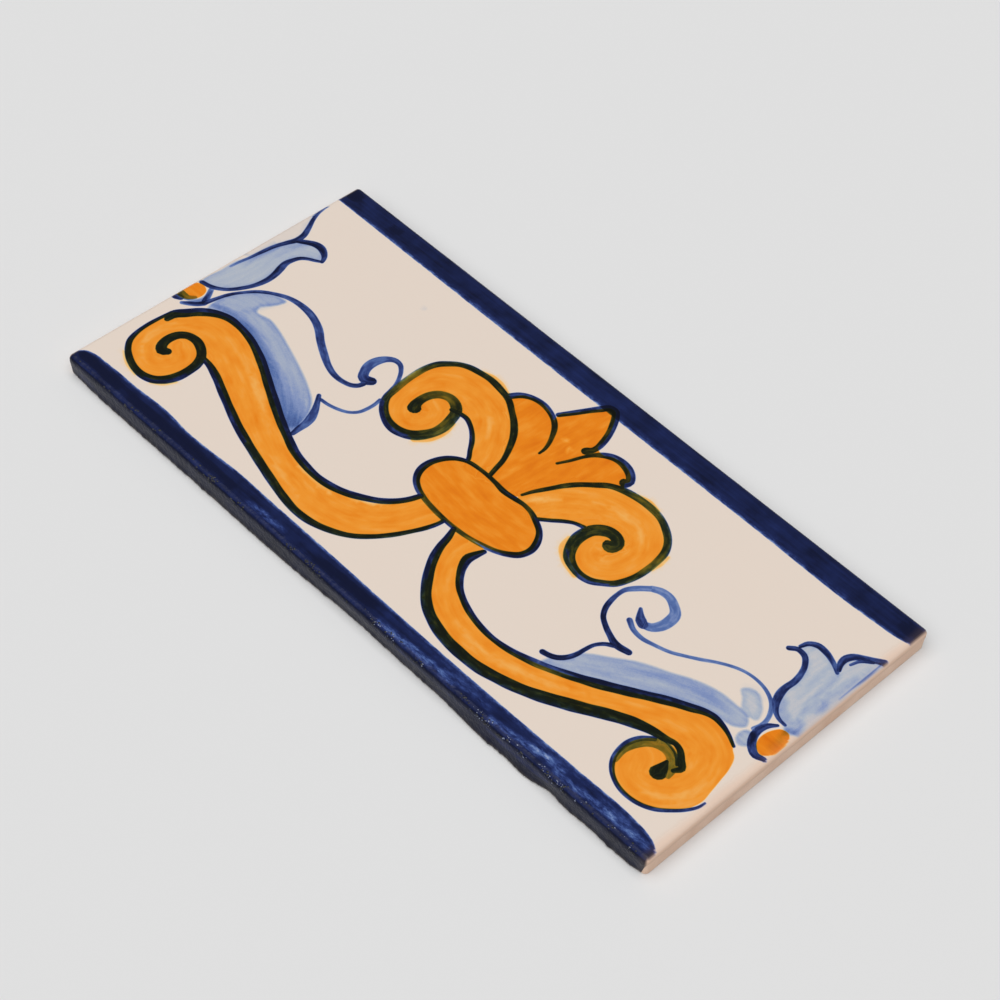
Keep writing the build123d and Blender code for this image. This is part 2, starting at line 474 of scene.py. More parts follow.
# %% Blue lines of the flowers and tendrils
LEFT_PETAL_BACK = [
    (-99.2, 37.5, 0.5, 0.6), (-98.9, 34, 1.0, 0.7), (-97.8, 31, 1.2, 0.8), (-96.2, 28, 1.4, 0.8),
    (-94.9, 25, 1.7, 0.85), (-94.7, 22.5, 1.8, 0.8), (-95.5, 20, 1.5, 0.75), (-96.7, 16, 1.3, 0.7),
    (-97.2, 12, 1.1, 0.65), (-97.5, 9, 0.9, 0.6), (-98, 5, 0.8, 0.35), (-98.2, 2.5, 0.7, 0.2),
]
LEFT_PETAL_HOOK = [
    (-94.3, 22.4, 1.5, 0.85), (-92, 24.2, 1.9, 0.85), (-90.2, 25.2, 2.2, 0.85),
    (-88.5, 25.4, 2.2, 0.85), (-86.8, 24.8, 1.9, 0.85), (-85.5, 23.9, 1.5, 0.85),
    (-84.7, 22.8, 1.2, 0.9), (-84.4, 22, 1.0, 1.0),
]
LEFT_PETAL_FRONT = [
    (-84.5, 22, 0.9, 0.9), (-86, 20.9, 1.0, 0.8), (-87.5, 20, 1.1, 0.8), (-89, 18.5, 1.3, 0.8),
    (-89.7, 16.6, 1.5, 0.78), (-90, 14.5, 1.8, 0.78), (-89.4, 12, 2.1, 0.8), (-88.8, 10, 2.0, 0.8),
    (-88.4, 7, 1.7, 0.75), (-88.75, 3.5, 1.5, 0.75), (-90.25, -0.5, 1.3, 0.75),
    (-92.5, -4, 1.2, 0.75), (-95.5, -6.2, 1.3, 0.8), (-98.5, -7, 1.4, 0.85),
]
LEFT_TENDRIL = [
    (-92.2, -11.5, 1.4, 0.75), (-91.5, -8, 1.2, 0.7), (-90.7, -5, 1.1, 0.68),
    (-89, -1.5, 1.0, 0.66), (-86.5, 2, 1.1, 0.66), (-83.5, 4.5, 1.2, 0.66), (-79.5, 6.5, 1.5, 0.66),
    (-75.5, 7.1, 1.9, 0.66), (-71, 6.6, 2.0, 0.66), (-67, 5, 2.2, 0.66), (-63, 2.2, 2.2, 0.66),
    (-59, -0.2, 2.0, 0.66), (-55.5, -2, 1.8, 0.68), (-52, -3, 1.6, 0.7), (-48.6, -2.8, 1.5, 0.72),
    (-46.6, -2, 1.5, 0.75), (-45.5, -0.7, 1.4, 0.8), (-45.2, 0.6, 1.4, 0.8),
]
LEFT_TENDRIL_CURL = [
    (-44.6, 2.7, 2.8, 0.9), (-45.6, 2, 3.2, 0.85), (-46.8, 2, 2.8, 0.7), (-48, 3.4, 2.6, 0.6),
    (-48.9, 5.5, 2.7, 0.54), (-49, 7.5, 2.6, 0.52), (-48.6, 9.3, 2.4, 0.54),
    (-47.5, 11.2, 2.0, 0.58), (-46, 12.3, 1.7, 0.6), (-44.3, 12.3, 1.4, 0.62),
    (-42.5, 11, 1.2, 0.62), (-41, 9, 1.1, 0.64), (-39.7, 6.5, 1.1, 0.66), (-39, 3.5, 1.1, 0.66),
]
LEFT_TENDRIL_THREAD = [
    (-38.5, 0, 1.0, 0.54), (-38.2, -2, 1.0, 0.5), (-38.3, -4.5, 1.0, 0.5), (-38.9, -7, 1.0, 0.5),
    (-40.3, -8.8, 1.0, 0.5), (-43, -10.3, 1.0, 0.5), (-45.8, -11.1, 1.0, 0.54),
    (-48, -11.3, 1.0, 0.6),
]
LEFT_HOOK = [
    (-49.4, -10.7, 1.1, 0.75), (-47.9, -12.6, 1.4, 0.7), (-46.2, -15, 2.0, 0.62),
    (-44.9, -17.5, 2.4, 0.58), (-44.3, -20, 2.2, 0.56), (-44.2, -22.3, 1.8, 0.6),
    (-44, -24.3, 1.3, 0.7),
]
LEFT_BUD_STALK = [(-94.8, -7, 1.4, 0.36), (-93.6, -9, 1.6, 0.4), (-92.6, -11, 1.8, 0.5)]
LEFT_BUD_LOWER = [
    (-92.2, -11.6, 1.6, 0.6), (-93, -13, 1.6, 0.56), (-94.6, -14.6, 1.6, 0.46),
    (-96, -15.8, 1.2, 0.4),
]
LEFT_BUD_OLIVE = [
    (-99, -13.4, 1.8, 0.5), (-97.6, -13.8, 2.4, 0.5), (-96.2, -13.3, 1.8, 0.4),
    (-95.3, -12, 1.2, 0.3),
]
LEFT_BUD_TIP = [(-98.8, -15.4, 2.2, 0.8), (-97.6, -14.9, 1.8, 0.7)]
RIGHT_CURL = [
    (48, 7.8, 1.8, 0.4), (45.5, 5, 1.7, 0.42), (44, 2.5, 1.3, 0.5), (43.8, 0, 1.2, 0.65),
    (44, -2, 1.3, 0.85), (44.8, -5, 1.4, 0.9), (46.3, -7.3, 1.4, 0.9), (48.5, -8.8, 1.4, 0.9),
    (51, -10, 1.6, 0.9), (54, -11, 2.0, 0.9), (57.5, -10.4, 1.7, 0.85),
]
RIGHT_CURL_TAIL = [
    (54, -11.5, 1.4, 0.9), (52, -13, 1.2, 0.85), (50.7, -15, 1.0, 0.8), (50.2, -17.5, 1.1, 0.8),
    (49.9, -20, 1.3, 0.85), (49, -22.5, 1.4, 0.85), (47.5, -24.3, 1.5, 0.9),
    (45.5, -25.3, 1.6, 0.9), (44.2, -25.6, 1.6, 0.95),
]
RIGHT_CURL_TOP = [
    (48, 7.8, 2.0, 0.36), (50, 8.9, 2.3, 0.36), (52.5, 9.1, 2.3, 0.36), (55, 8, 2.5, 0.4),
    (57, 6.2, 2.8, 0.4), (57.5, 3.8, 2.9, 0.38), (57.1, 1, 3.0, 0.38), (55.8, -1, 2.6, 0.4),
    (54, -1.8, 2.2, 0.5),
]
RIGHT_CURL_FLAG = [
    (50.4, 1.3, 0.9, 0.6), (51.5, 0, 1.6, 0.68), (52.8, -1.2, 2.6, 0.74), (54, -1.8, 2.6, 0.66),
]
RIGHT_TENDRIL = [
    (51, -3.2, 1.5, 0.6), (53.5, -4.6, 1.4, 0.5), (56.5, -5, 1.2, 0.46), (60, -4.2, 1.1, 0.44),
    (64, -2.8, 1.0, 0.42), (67, -1, 1.0, 0.42), (70, 1, 1.0, 0.42), (73, 3.2, 0.9, 0.42),
    (76, 5, 0.9, 0.44), (79, 6.2, 0.9, 0.46), (82, 6.6, 0.9, 0.48), (85, 6.3, 0.9, 0.5),
    (87.5, 5.4, 1.0, 0.5), (89.5, 4, 1.1, 0.48), (91, 2, 1.2, 0.45), (91.9, -0.3, 1.2, 0.42),
    (92, -2.5, 1.2, 0.4), (91.5, -4.5, 1.2, 0.36),
]
RIGHT_PETAL_FRONT = [
    (81.4, 19.5, 1.4, 1.0), (83, 20.8, 1.4, 0.9), (85.3, 20.6, 1.5, 0.85), (87.1, 18.8, 1.5, 0.82),
    (88.3, 16, 1.5, 0.8), (88.8, 13, 1.7, 0.8), (88.6, 10, 1.8, 0.8), (88.8, 8.2, 2.0, 0.8),
    (89.5, 6, 2.0, 0.8), (90.7, 4.1, 1.6, 0.78), (92.3, 2.6, 1.2, 0.75), (94, 1.9, 1.0, 0.7),
    (95.6, 1.8, 0.9, 0.6),
]
RIGHT_PETAL_MIDDLE = [
    (82.9, 22, 1.0, 0.9), (83.6, 24, 1.4, 0.85), (85.4, 25.3, 1.7, 0.85), (88, 25.3, 1.7, 0.8),
    (90.3, 24.6, 1.5, 0.8), (92.4, 23.6, 1.3, 0.75), (93.8, 22.6, 1.0, 0.6),
]
RIGHT_PETAL_BACK = [
    (93.6, 23.5, 1.0, 0.85), (92.6, 25.2, 1.7, 0.85), (92.4, 27.3, 2.1, 0.82),
    (93.2, 29.1, 2.0, 0.8), (95, 30.7, 1.7, 0.8), (97.1, 32.1, 1.7, 0.85), (99.3, 33.6, 1.8, 0.95),
]
RIGHT_PETAL_VEIN = [(94.3, 26.8, 0.7, 0.5), (95, 29, 0.8, 0.6), (97.5, 31.5, 0.8, 0.7)]
RIGHT_PETAL_RIM = [
    (99.1, 32.4, 0.5, 0.3), (99.2, 28, 0.6, 0.3), (99.1, 22, 0.5, 0.24), (99, 17, 0.4, 0.12),
]
RIGHT_BUD_CRESCENT = [
    (94.6, 0.4, 0.8, 0.85), (93.1, -1.5, 1.5, 0.88), (92.5, -4, 2.0, 0.86), (93, -6.3, 2.2, 0.84),
    (94.5, -8.5, 2.2, 0.86), (96.6, -9.8, 2.0, 0.86), (98.8, -9.2, 1.4, 0.9),
]

LINER_STROKES = [
    (LEFT_SCROLL, 0.9), (LEFT_SCROLL_INNER, 1), (LEAFLET_LEFT, 0.8), (LEAF_MIDDLE, 0.82),
    (LEAFLET_RIGHT, 0.78), (RIGHT_SCROLL, 0.82), (RIGHT_SCROLL_INNER, 0.9), (LEFT_STEM_UPPER, 1),
    (LEFT_VOLUTE, 1), (LEFT_STEM_LOWER, 1), (RIGHT_STEM_LOWER, 1), (RIGHT_STEM_UPPER, 1),
    (RIGHT_VOLUTE, 1), (RIGHT_VOLUTE_CURL, 1), (RIGHT_VOLUTE_DROP, 1), (LEFT_PETAL_BACK, 0.9),
    (LEFT_PETAL_HOOK, 0.9), (LEFT_PETAL_FRONT, 0.9), (LEFT_TENDRIL, 1), (LEFT_TENDRIL_CURL, 1),
    (LEFT_TENDRIL_THREAD, 1), (LEFT_HOOK, 1), (LEFT_BUD_STALK, 1), (LEFT_BUD_LOWER, 1),
    (LEFT_BUD_OLIVE, 1), (LEFT_BUD_TIP, 1), (RIGHT_CURL, 1), (RIGHT_CURL_TAIL, 1),
    (RIGHT_CURL_TOP, 1), (RIGHT_CURL_FLAG, 1), (RIGHT_TENDRIL, 1), (RIGHT_PETAL_FRONT, 0.84),
    (RIGHT_PETAL_MIDDLE, 0.84), (RIGHT_PETAL_BACK, 0.86), (RIGHT_PETAL_VEIN, 1),
    (RIGHT_PETAL_RIM, 1), (RIGHT_BUD_CRESCENT, 0.88), (RIGHT_VOLUTE_THREAD, 1),
]
print(len(LINER_STROKES) + 1, "liner strokes")

# %% [markdown]
# ## The ochre fills
#
# The orange was laid first, with a fat brush, inside the pounced guide, and the outline came after and
# hides most of its edge. So each fill is bounded by the outlines that it meets, and has one load of
# paint. A few slips run past the line, some ochre reaches under the lines, and the brush left starved
# streaks. A few pale dots on the palmette are painted highlights: glints of light on the glaze, laid
# as ochre taken away. Those are strokes of their own. The brush paths only say which way its bristles
# ran.

# %% Ochre fills
RIGHT_VOLUTE_EDGE = [
    (91.9, -12), (94, -14), (95.3, -17), (96.1, -21), (96.8, -25), (97.3, -28.5), (96.6, -31.6),
    (94.6, -34.6), (91.5, -37.6), (88, -39.4), (84.5, -40), (81, -39.3), (78, -37.5), (76, -34.8),
    (75.2, -31.5), (75.6, -28), (77.2, -25), (79, -23),
]
PALMETTE_TOP = LEAFLET_LEFT[1:6] + LEAF_MIDDLE[:11] + LEAFLET_RIGHT[4:]


def places(rows):
    """Only the x and y of stroke rows."""
    return [tuple(row[:2]) for row in rows]


OCHRE_FILLS = {
    "boss": places(BOSS),
    "left scroll": places(LEFT_SCROLL[:32]) + places(LEFT_SCROLL_INNER[1:]),
    "palmette": (
        places(LEFT_SCROLL[:9])
        + places(PALMETTE_TOP)
        + places(RIGHT_SCROLL[8:0:-1])
        + [(6.9, 4), (2, 2.6)]
    ),
    "right scroll": (
        places(RIGHT_SCROLL[:28])
        + places(RIGHT_SCROLL_INNER[::-1])
        + [(11, 2.8), (7, 2.6)]
    ),
    "left stem": (
        places(LEFT_STEM_UPPER[:22])
        + places(LEFT_VOLUTE[:14])
        + places(LEFT_STEM_LOWER)
        + [(-4, -14.7)]
    ),
    "right stem": (
        places(RIGHT_STEM_UPPER)
        + RIGHT_VOLUTE_EDGE
        + places(RIGHT_STEM_LOWER[18::-1])
        + [(9, -14.5)]
    ),
    "left bud": [
        (-99, -8), (-97.5, -7.4), (-95.4, -8.1), (-94.6, -10), (-95, -12.4), (-96.8, -14.4),
        (-98.9, -14.8),
    ],
    "right bud": [
        (94.1, -4), (94.7, -1.6), (96, 0.3), (98, 0.5), (99.2, -1.2), (99.5, -4), (99.2, -7),
        (97.4, -8.8), (95.4, -8), (94.3, -6.2),
    ],
}
OCHRE_LOADS = {
    "boss": 0.96, "left scroll": 0.83, "palmette": 1.0, "right scroll": 0.8, "left stem": 0.82,
    "right stem": 0.82, "left bud": 0.95, "right bud": 1.05,
}
BRUSH_PATHS = {
    "boss": [(-15, -5), (3, -6.6), (20, -5)],
    "left scroll": [
        (-6, 3.5), (-7.5, 8), (-10.5, 13), (-15, 18), (-21, 20.5), (-28, 20.5), (-33.5, 17.5),
        (-36, 12), (-36, 6), (-33, 0.5), (-29, -1.2), (-25.5, 1), (-24.5, 5), (-26, 9), (-29, 10),
    ],
    "palmette": [(0, 3), (1, 15), (2, 28), (2.5, 42)],
    "right scroll": [
        (9.5, 4), (11.5, 9), (15.5, 14), (21, 18.5), (28, 21), (34.5, 20), (39, 15.5), (39.8, 9.5),
        (38, 3.5), (34, 0.8), (30, 2), (27.8, 5.5), (28, 9), (30.5, 11),
    ],
    "left stem": [
        (-3, -16), (-6, -24), (-12, -31), (-21, -34.5), (-32, -34), (-44, -31), (-56, -26),
        (-68, -20.5), (-78, -17), (-85, -17), (-90, -21), (-92.5, -28), (-90, -34.5),
        (-84.5, -36.5), (-80.5, -33), (-80.5, -28), (-84, -26),
    ],
    "right stem": [
        (9, -16), (9, -21), (12, -27.5), (18, -33), (27, -36), (37, -35.7), (47, -33), (57, -28),
        (68, -21), (77, -16.5), (84, -15), (89.5, -17), (92.5, -23), (92, -30), (87, -35.5),
        (81.5, -35.5), (79, -31),
    ],
    "left petal": [(-94, -5), (-93, 5), (-93.5, 14), (-91, 22), (-86, 24)],
    "left crescent": [
        (-91, -10), (-84, -6.5), (-76, -7), (-68, -9), (-58, -13), (-50, -19), (-46, -24),
    ],
    "right crescent": [(46, -27), (55, -20.5), (64, -14), (74, -8.5), (84, -5.5), (91, -5)],
    "right petal": [(96, 0), (95.5, 8), (96, 16), (97, 24), (98, 32)],
}
OCHRE_SLIPS = [
    [(-29, 26.4, 1.2, 0.5), (-26, 27, 2.4, 0.62), (-23, 27, 2.2, 0.62), (-19.5, 26, 1.6, 0.5)],
    [(-20.7, 8.5, 1.0, 0.5), (-20.1, 5, 1.6, 0.62), (-21, 0.5, 2.0, 0.6), (-23.3, -2.6, 1.8, 0.5)],
    [(25, 26.4, 1.2, 0.4), (29, 27.2, 1.8, 0.6), (32, 26.8, 1.4, 0.5)],
    [(43.9, 18, 0.8, 0.4), (44.1, 15, 1.4, 0.45), (44, 12, 0.8, 0.4)],
    [(24, 4, 1.2, 0.45), (24.9, 0.8, 1.8, 0.55), (28.5, -1.9, 2.0, 0.55), (33, -3.5, 1.4, 0.45)],
    [(-92, -38.2, 0.8, 0.25), (-88, -40.2, 1.2, 0.4), (-84, -41.1, 0.8, 0.3)],
    [(-75.4, -35, 0.8, 0.25), (-77, -38, 1.0, 0.35), (-79.4, -40, 0.8, 0.25)],
]
OCHRE_UNDER_LINES = [
    LEFT_SCROLL[:21], LEFT_SCROLL[26:], RIGHT_SCROLL[:20], RIGHT_SCROLL[25:], LEFT_VOLUTE[4:9],
    LEFT_VOLUTE[12:], LEFT_STEM_LOWER[6:18], RIGHT_STEM_LOWER[5:22],
]
OCHRE_STARVED_AND_GLINTS = [
    [(-12, -21.5, 0.5, -0.9), (-15, -24.6, 0.7, -0.9), (-19.5, -27.2, 0.7, -0.9)],
    [(-22, -29.9, 0.4, -0.5), (-28, -30.7, 0.5, -0.7), (-35, -30.3, 0.4, -0.5)],
    [(0, 12, 0.8, -0.1), (-0.4, 8, 1.2, -0.2), (-0.2, 5, 0.8, -0.1)],
    [(9, 5, 1.0, -0.2), (11.5, 8, 1.6, -0.3), (14, 11, 1.2, -0.2)],
    [(1.6, 18.4, 0.8, -0.2), (2.2, 20, 0.8, -0.1)],
    # These three pairs of pale dots on the palmette are painted highlights: glints of light on the
    # glaze.
    [(0.8, 26, 0.6, -0.8), (1.1, 26.2, 0.5, -0.8)],
    [(3.9, 24.6, 0.5, -0.7), (4.1, 24.3, 0.5, -0.7)],
    [(5.4, 24.6, 0.4, -0.6), (5.6, 24.4, 0.4, -0.6)],
    [(20, 17, 1.0, -0.1), (27, 19.6, 1.8, -0.25), (33, 19, 1.6, -0.2), (37, 15.5, 1.0, -0.1)],
    [(-12, 12, 0.8, -0.1), (-15, 15.5, 1.4, -0.2), (-19, 18, 1.0, -0.1)],
    [
        (-72, -16.6, 1.2, -0.1), (-66, -19, 1.8, -0.22), (-58, -22.6, 1.6, -0.2),
        (-50, -27, 1.2, -0.1),
    ],
    [(-45, -33, 1.0, -0.1), (-38, -34.8, 1.4, -0.2), (-28, -36.8, 1.4, -0.15)],
    [
        (-91.5, -22, 0.8, -0.1), (-92.6, -27, 1.2, -0.2), (-91, -33, 1.0, -0.2),
        (-87.4, -36, 0.8, -0.1),
    ],
    [
        (24, -34.6, 1.0, -0.1), (34, -36, 1.6, -0.22), (44, -34, 1.4, -0.2),
        (54, -29.8, 1.2, -0.15), (62, -25, 1.0, -0.1),
    ],
    [
        (94.2, -20, 0.8, -0.1), (94.6, -27, 1.4, -0.25), (92, -33.4, 1.4, -0.2),
        (86.6, -36.6, 1.0, -0.2),
    ],
]
print(len(OCHRE_FILLS), "fills and", len(OCHRE_SLIPS), "slips of ochre")

# %% [markdown]
# ## Thin washes and the two bands
#
# The flowers were filled with cobalt let down with water, so the wash is pale, with darker rims where
# the water dried. The two bands were pulled along the tile with a flat brush, loaded again at each
# end, and they run over the arris. Lighter patches on the near band, towards its arris, are partly
# thinner paint and partly painted highlight, where the glaze catches light.

# %% Washes
WASH_FILLS = {
    "left petal": [
        (-94.7, 22.5), (-92, 24.6), (-90, 25.8), (-88.5, 25.8), (-86.5, 24.6), (-85, 22),
        (-87.5, 20), (-89.3, 18), (-90.2, 14.5), (-89.3, 11.5), (-88.8, 9), (-88.4, 7),
        (-88.75, 3.5), (-90.25, -0.5), (-92.5, -4), (-95.5, -6.2), (-98.4, -6.8), (-98.8, 0),
        (-98.6, 6), (-97.6, 9), (-97.2, 12), (-96.7, 16), (-95.5, 20),
    ],
    "left petal back": [
        (-99, 36), (-98.6, 33), (-97.5, 30.5), (-96, 27.5), (-94.9, 25), (-94.7, 22.5), (-95.5, 20),
        (-96.7, 16), (-97.2, 12), (-97.5, 9), (-99, 8),
    ],
    "left crescent": [
        (-91, -9), (-90.6, -5), (-88.6, -1), (-86, 2.2), (-83.4, 4), (-81, 5), (-79.3, 5),
        (-79.6, 3), (-80.8, 0.6), (-82, -1.8), (-81.5, -3), (-77, -2.5), (-72, -3.5), (-67, -5.2),
        (-59.5, -8), (-52, -11.5), (-49.6, -13), (-47.3, -15.4), (-46, -18), (-45.2, -21),
        (-44.5, -24.6), (-49, -23), (-60, -17.5), (-70, -12), (-80, -9.8), (-86, -10.6),
        (-90, -12.5),
    ],
    "left bud": [
        (-94.5, -6.8), (-92.6, -10), (-92.2, -12.3), (-94.6, -15), (-96, -15.8), (-95.2, -13.6),
        (-94.1, -10.6),
    ],
    "right crescent": [
        (50, -19.5), (52, -17.5), (56, -14.5), (60, -11.3), (64, -9), (68, -7.2), (72, -5),
        (76, -3.4), (80, -2.5), (84, -2.4), (88, -2.6), (90, -5.5), (88, -7.5), (85, -8.3),
        (82, -8.4), (78, -10.2), (72, -13.4), (66, -17.6), (60, -21.4), (55, -24.2), (50, -26.6),
        (46, -28.3), (46.5, -25.5), (49.5, -22.5),
    ],
    "right leaf": [
        (82.5, 3), (85, 4), (88, 2.5), (90, 0), (90.5, -2), (86, -2.4), (84, 0), (82, 2),
    ],
    "right petal": [
        (82.5, 20.8), (84, 24), (85.8, 25.4), (88.3, 25.4), (90.5, 24.5), (92.5, 23.2),
        (92.6, 27.5), (93.4, 29.3), (95, 30.8), (97, 31.8), (99.2, 32.8), (99.3, 1.4), (97, 0.6),
        (94.3, 1.9), (92.3, 2.6), (90.5, 4.2), (89.3, 6), (88.8, 8.5), (88.6, 10), (89, 13),
        (88.7, 16), (87.3, 18.8), (85.3, 20.6),
    ],
    "right bud shade": [(90.6, -6), (93, -5.5), (94, -7), (93.6, -9.6), (92, -10.6), (90.4, -9.5)],
}
WASH_LOADS = {
    "left petal": 0.125, "left petal back": 0.02, "left crescent": 0.172, "left bud": 0.28,
    "right crescent": 0.145, "right leaf": 0.09, "right petal": 0.095, "right bud shade": 0.14,
}
WASH_STROKES = [
    [
        (-89.5, -9.8, 1.4, 0.2), (-85.5, -8.9, 1.8, 0.2), (-79.5, -8.8, 2.2, 0.24),
        (-72, -10.2, 2.2, 0.17), (-67, -12, 2.4, 0.19), (-62, -14.6, 2.8, 0.2),
        (-56, -17.4, 3.2, 0.18), (-50, -20.6, 4.0, 0.2), (-47, -22.6, 3.2, 0.26),
    ],
    [
        (-60, -11.6, 2.0, 0.02), (-52, -15.8, 3.0, 0.06), (-47.4, -18.6, 2.8, 0.14),
        (-45.8, -21.4, 2.0, 0.2),
    ],
    [
        (-79.6, 4.4, 0.6, 0.06), (-80.8, 0.6, 0.7, 0.07), (-82.2, -3, 0.9, 0.08),
        (-84, -7, 1.2, 0.06),
    ],
    [(-96.2, 17, 1.4, 0.12), (-96.2, 12, 1.6, 0.1), (-96.6, 6, 1.4, 0.06)],
    [(-92.2, 23.4, 1.8, 0.12), (-93.4, 19, 1.6, 0.1), (-93.6, 14, 1.2, 0.04)],
    [
        (53, -19, 1.6, 0.04), (62, -13.4, 2.4, 0.08), (70, -8.4, 2.8, 0.1), (78, -5.6, 2.8, 0.12),
        (85, -5.2, 2.0, 0.06),
    ],
    [(52, -22, 1.4, 0.06), (62, -17.5, 1.6, 0.06), (72, -11.6, 1.6, 0.05), (80, -7.6, 1.4, 0.04)],
    [(98.2, 30, 0.8, 0.06), (98, 24, 1.4, 0.12), (97.8, 17, 1.6, 0.1), (98, 12, 1.0, 0.06)],
    [
        (96.3, 12.6, 0.5, 0.12), (97, 13.8, 0.6, 0.16), (98, 13.4, 0.7, 0.14),
        (98, 11.4, 1.6, 0.14), (97.6, 8.8, 1.0, 0.08),
    ],
    [
        (94.3, 22, 0.8, 0.18), (94.7, 18, 1.0, 0.12), (95, 13, 0.8, 0.1), (95.8, 8, 0.7, 0.12),
        (96.8, 5, 0.8, 0.1),
    ],
    [(91.5, 22, 0.8, 0.05), (91.8, 16, 1.2, 0.05), (92.3, 10, 1.0, 0.04)],
    [(90.6, 7, 1.6, 0.12), (92.4, 4.6, 1.8, 0.14), (95.4, 3.2, 1.6, 0.1)],
    [(97.8, 5, 1.6, 0.1), (98.2, 2, 2.0, 0.26), (97.2, 0.8, 1.6, 0.16)],
    [(82.8, 2.8, 1.0, 0.06), (84.6, 3.6, 1.2, 0.08), (87, 3, 1.0, 0.06)],
    [(97.2, 0.2, 1.0, 0.16), (97.7, -2.2, 1.6, 0.14), (97.6, -5.4, 1.2, 0.06)],
]
WASH_SOFT = 0.8
# Grey dots where the glaze has small pits, as x, y, size and load: painted shade in the pits.
PIT_SHADE_SPECKS = [
    (28.6, -10.9, 0.5, 0.2), (-55, 31, 0.35, 0.06), (38.5, -9.4, 0.35, 0.05),
    (-0.4, -36.4, 0.5, 0.04),
]

# %% Bands
BACK_BAND_EDGE = [
    (-101, 41.7), (-50, 41.4), (0, 41.2), (50, 41.1), (90, 41.2), (97, 41.8), (99.8, 42.6),
    (101, 44),
]
NEAR_BAND_EDGE = [
    (-101, -47.2), (-99.2, -46.3), (-98.2, -45.2), (-96, -44.4), (-90, -43.9), (-80, -43.7),
    (-70, -43.1), (-60, -43.8), (-52, -43.5), (-45, -43.0), (-30, -43.1), (-15, -43.2), (0, -43.4),
    (20, -43.7), (40, -43.8), (60, -43.6), (75, -43.4), (90, -43.4), (95, -44), (98, -45),
    (99.6, -46.3), (100.3, -48.5), (101, -51),
]
BANDS = [(BACK_BAND_EDGE, 1), (NEAR_BAND_EDGE, -1)]
BAND_LOADS_AND_HIGHLIGHTS = [
    [(-99, 46, 3.0, 0.3), (-96.8, 46, 3.0, 0.25)],
    [(-82, 45, 1.6, 0.2), (-79.5, 45.2, 1.2, 0.15)],
    [
        (-94, 42.3, 1.0, -0.12), (-50, 42, 1.2, -0.14), (10, 41.9, 1.2, -0.12),
        (80, 41.8, 1.0, -0.12),
    ],
    [(96, 46, 3.0, 0.2), (99, 46.4, 3.0, 0.25)],
    [
        (-97, -46.5, 2.6, 0.3), (-80, -46.8, 2.2, 0.16), (-62, -46.6, 2.6, 0.2),
        (-44, -46.6, 2.0, 0.2), (-38, -46.5, 1.4, 0.1),
    ],
    # The lighter patches below, low on the near band by its arris, are partly thinner paint and partly
    # painted highlight.
    [(-34, -47.3, 1.4, -0.2), (-29, -47, 2.0, -0.34), (-22, -46.8, 1.4, -0.2)],
    [(-16, -46.4, 2.0, 0.1), (5, -46.2, 2.4, 0.24), (12, -46.2, 1.8, 0.1)],
    [(13, -48.4, 1.2, -0.3), (20, -48, 1.6, -0.4), (30, -47.8, 1.8, -0.38), (37, -48.2, 1.4, -0.3)],
    [(12, -45, 1.0, -0.06), (30, -45.2, 1.2, -0.1), (60, -44.8, 1.2, -0.1), (90, -45, 1.4, -0.14)],
    [(33, -46.4, 1.2, -0.16), (40, -46.6, 1.4, -0.22), (48, -46.6, 1.2, -0.2)],
    [
        (50, -48.2, 1.2, -0.4), (58, -47.4, 1.4, -0.4), (64, -46.6, 2.0, -0.54),
        (71, -46.2, 1.2, -0.3),
    ],
    [
        (70, -47.6, 1.4, -0.3), (76, -47.2, 1.8, -0.4), (84, -46.8, 2.0, -0.36),
        (92, -46.6, 2.2, -0.36), (97, -46.6, 2.0, -0.3),
    ],
    [(99.4, -47, 1.0, 0.2), (98.8, -48.4, 1.0, 0.2)],
]

# %% [markdown]
# ## From strokes to paint on a point
#
# For any point of the glaze two questions give its colour: how far is it from each stroke's middle,
# and is it inside each fill. Numpy answers both for thousands of points at once. The result is a few
# numbers for each vertex, the depth of cobalt and of ochre, which the material turns into colour.

# %% Paint measuring
LINE_SOFT = 0.24
FILL_SOFT = 0.3
CHUNK = 4000


def nearest_on(points, curve, closed=False):
    """For each point its gap to the curve and side of it, and the nearest width, load and run along."""
    ends = np.roll(curve, -1, axis=0) if closed else curve[1:]
    starts = curve if closed else curve[:-1]
    step = ends[:, :2] - starts[:, :2]
    length = np.maximum((step**2).sum(1), 1e-12)
    run = np.concatenate([[0], np.cumsum(np.sqrt(length))])
    found = [np.empty((0, 5))]
    for first in range(0, len(points), CHUNK):
        some = points[first:first + CHUNK]
        offset = some[:, None, :] - starts[None, :, :2]
        share = np.clip((offset * step).sum(2) / length, 0, 1)
        away = offset - share[..., None] * step
        gap = (away**2).sum(2)
        best = gap.argmin(1)
        pick = (np.arange(len(some)), best)
        t = share[pick][:, None]
        rows = starts[best] * (1 - t) + ends[best] * t
        side = np.sign(step[best, 0] * offset[pick][:, 1] - step[best, 1] * offset[pick][:, 0])
        along = run[best] + t[:, 0] * np.sqrt(length[best])
        found.append(np.column_stack([np.sqrt(gap[pick]), side, rows[:, 2], rows[:, 3], along]))
    return np.vstack(found)


def inside(points, outline):
    """True for each point within the closed outline."""
    x, y = points[:, 0][:, None], points[:, 1][:, None]
    here, there = outline[:, :2], np.roll(outline[:, :2], -1, axis=0)
    spans = (here[None, :, 1] > y) != (there[None, :, 1] > y)
    rise = np.where(there[:, 1] == here[:, 1], 1e-12, there[:, 1] - here[:, 1])
    crossing = here[None, :, 0] + (y - here[None, :, 1]) / rise * (there[:, 0] - here[:, 0])
    return (spans & (x < crossing)).sum(1) % 2 == 1


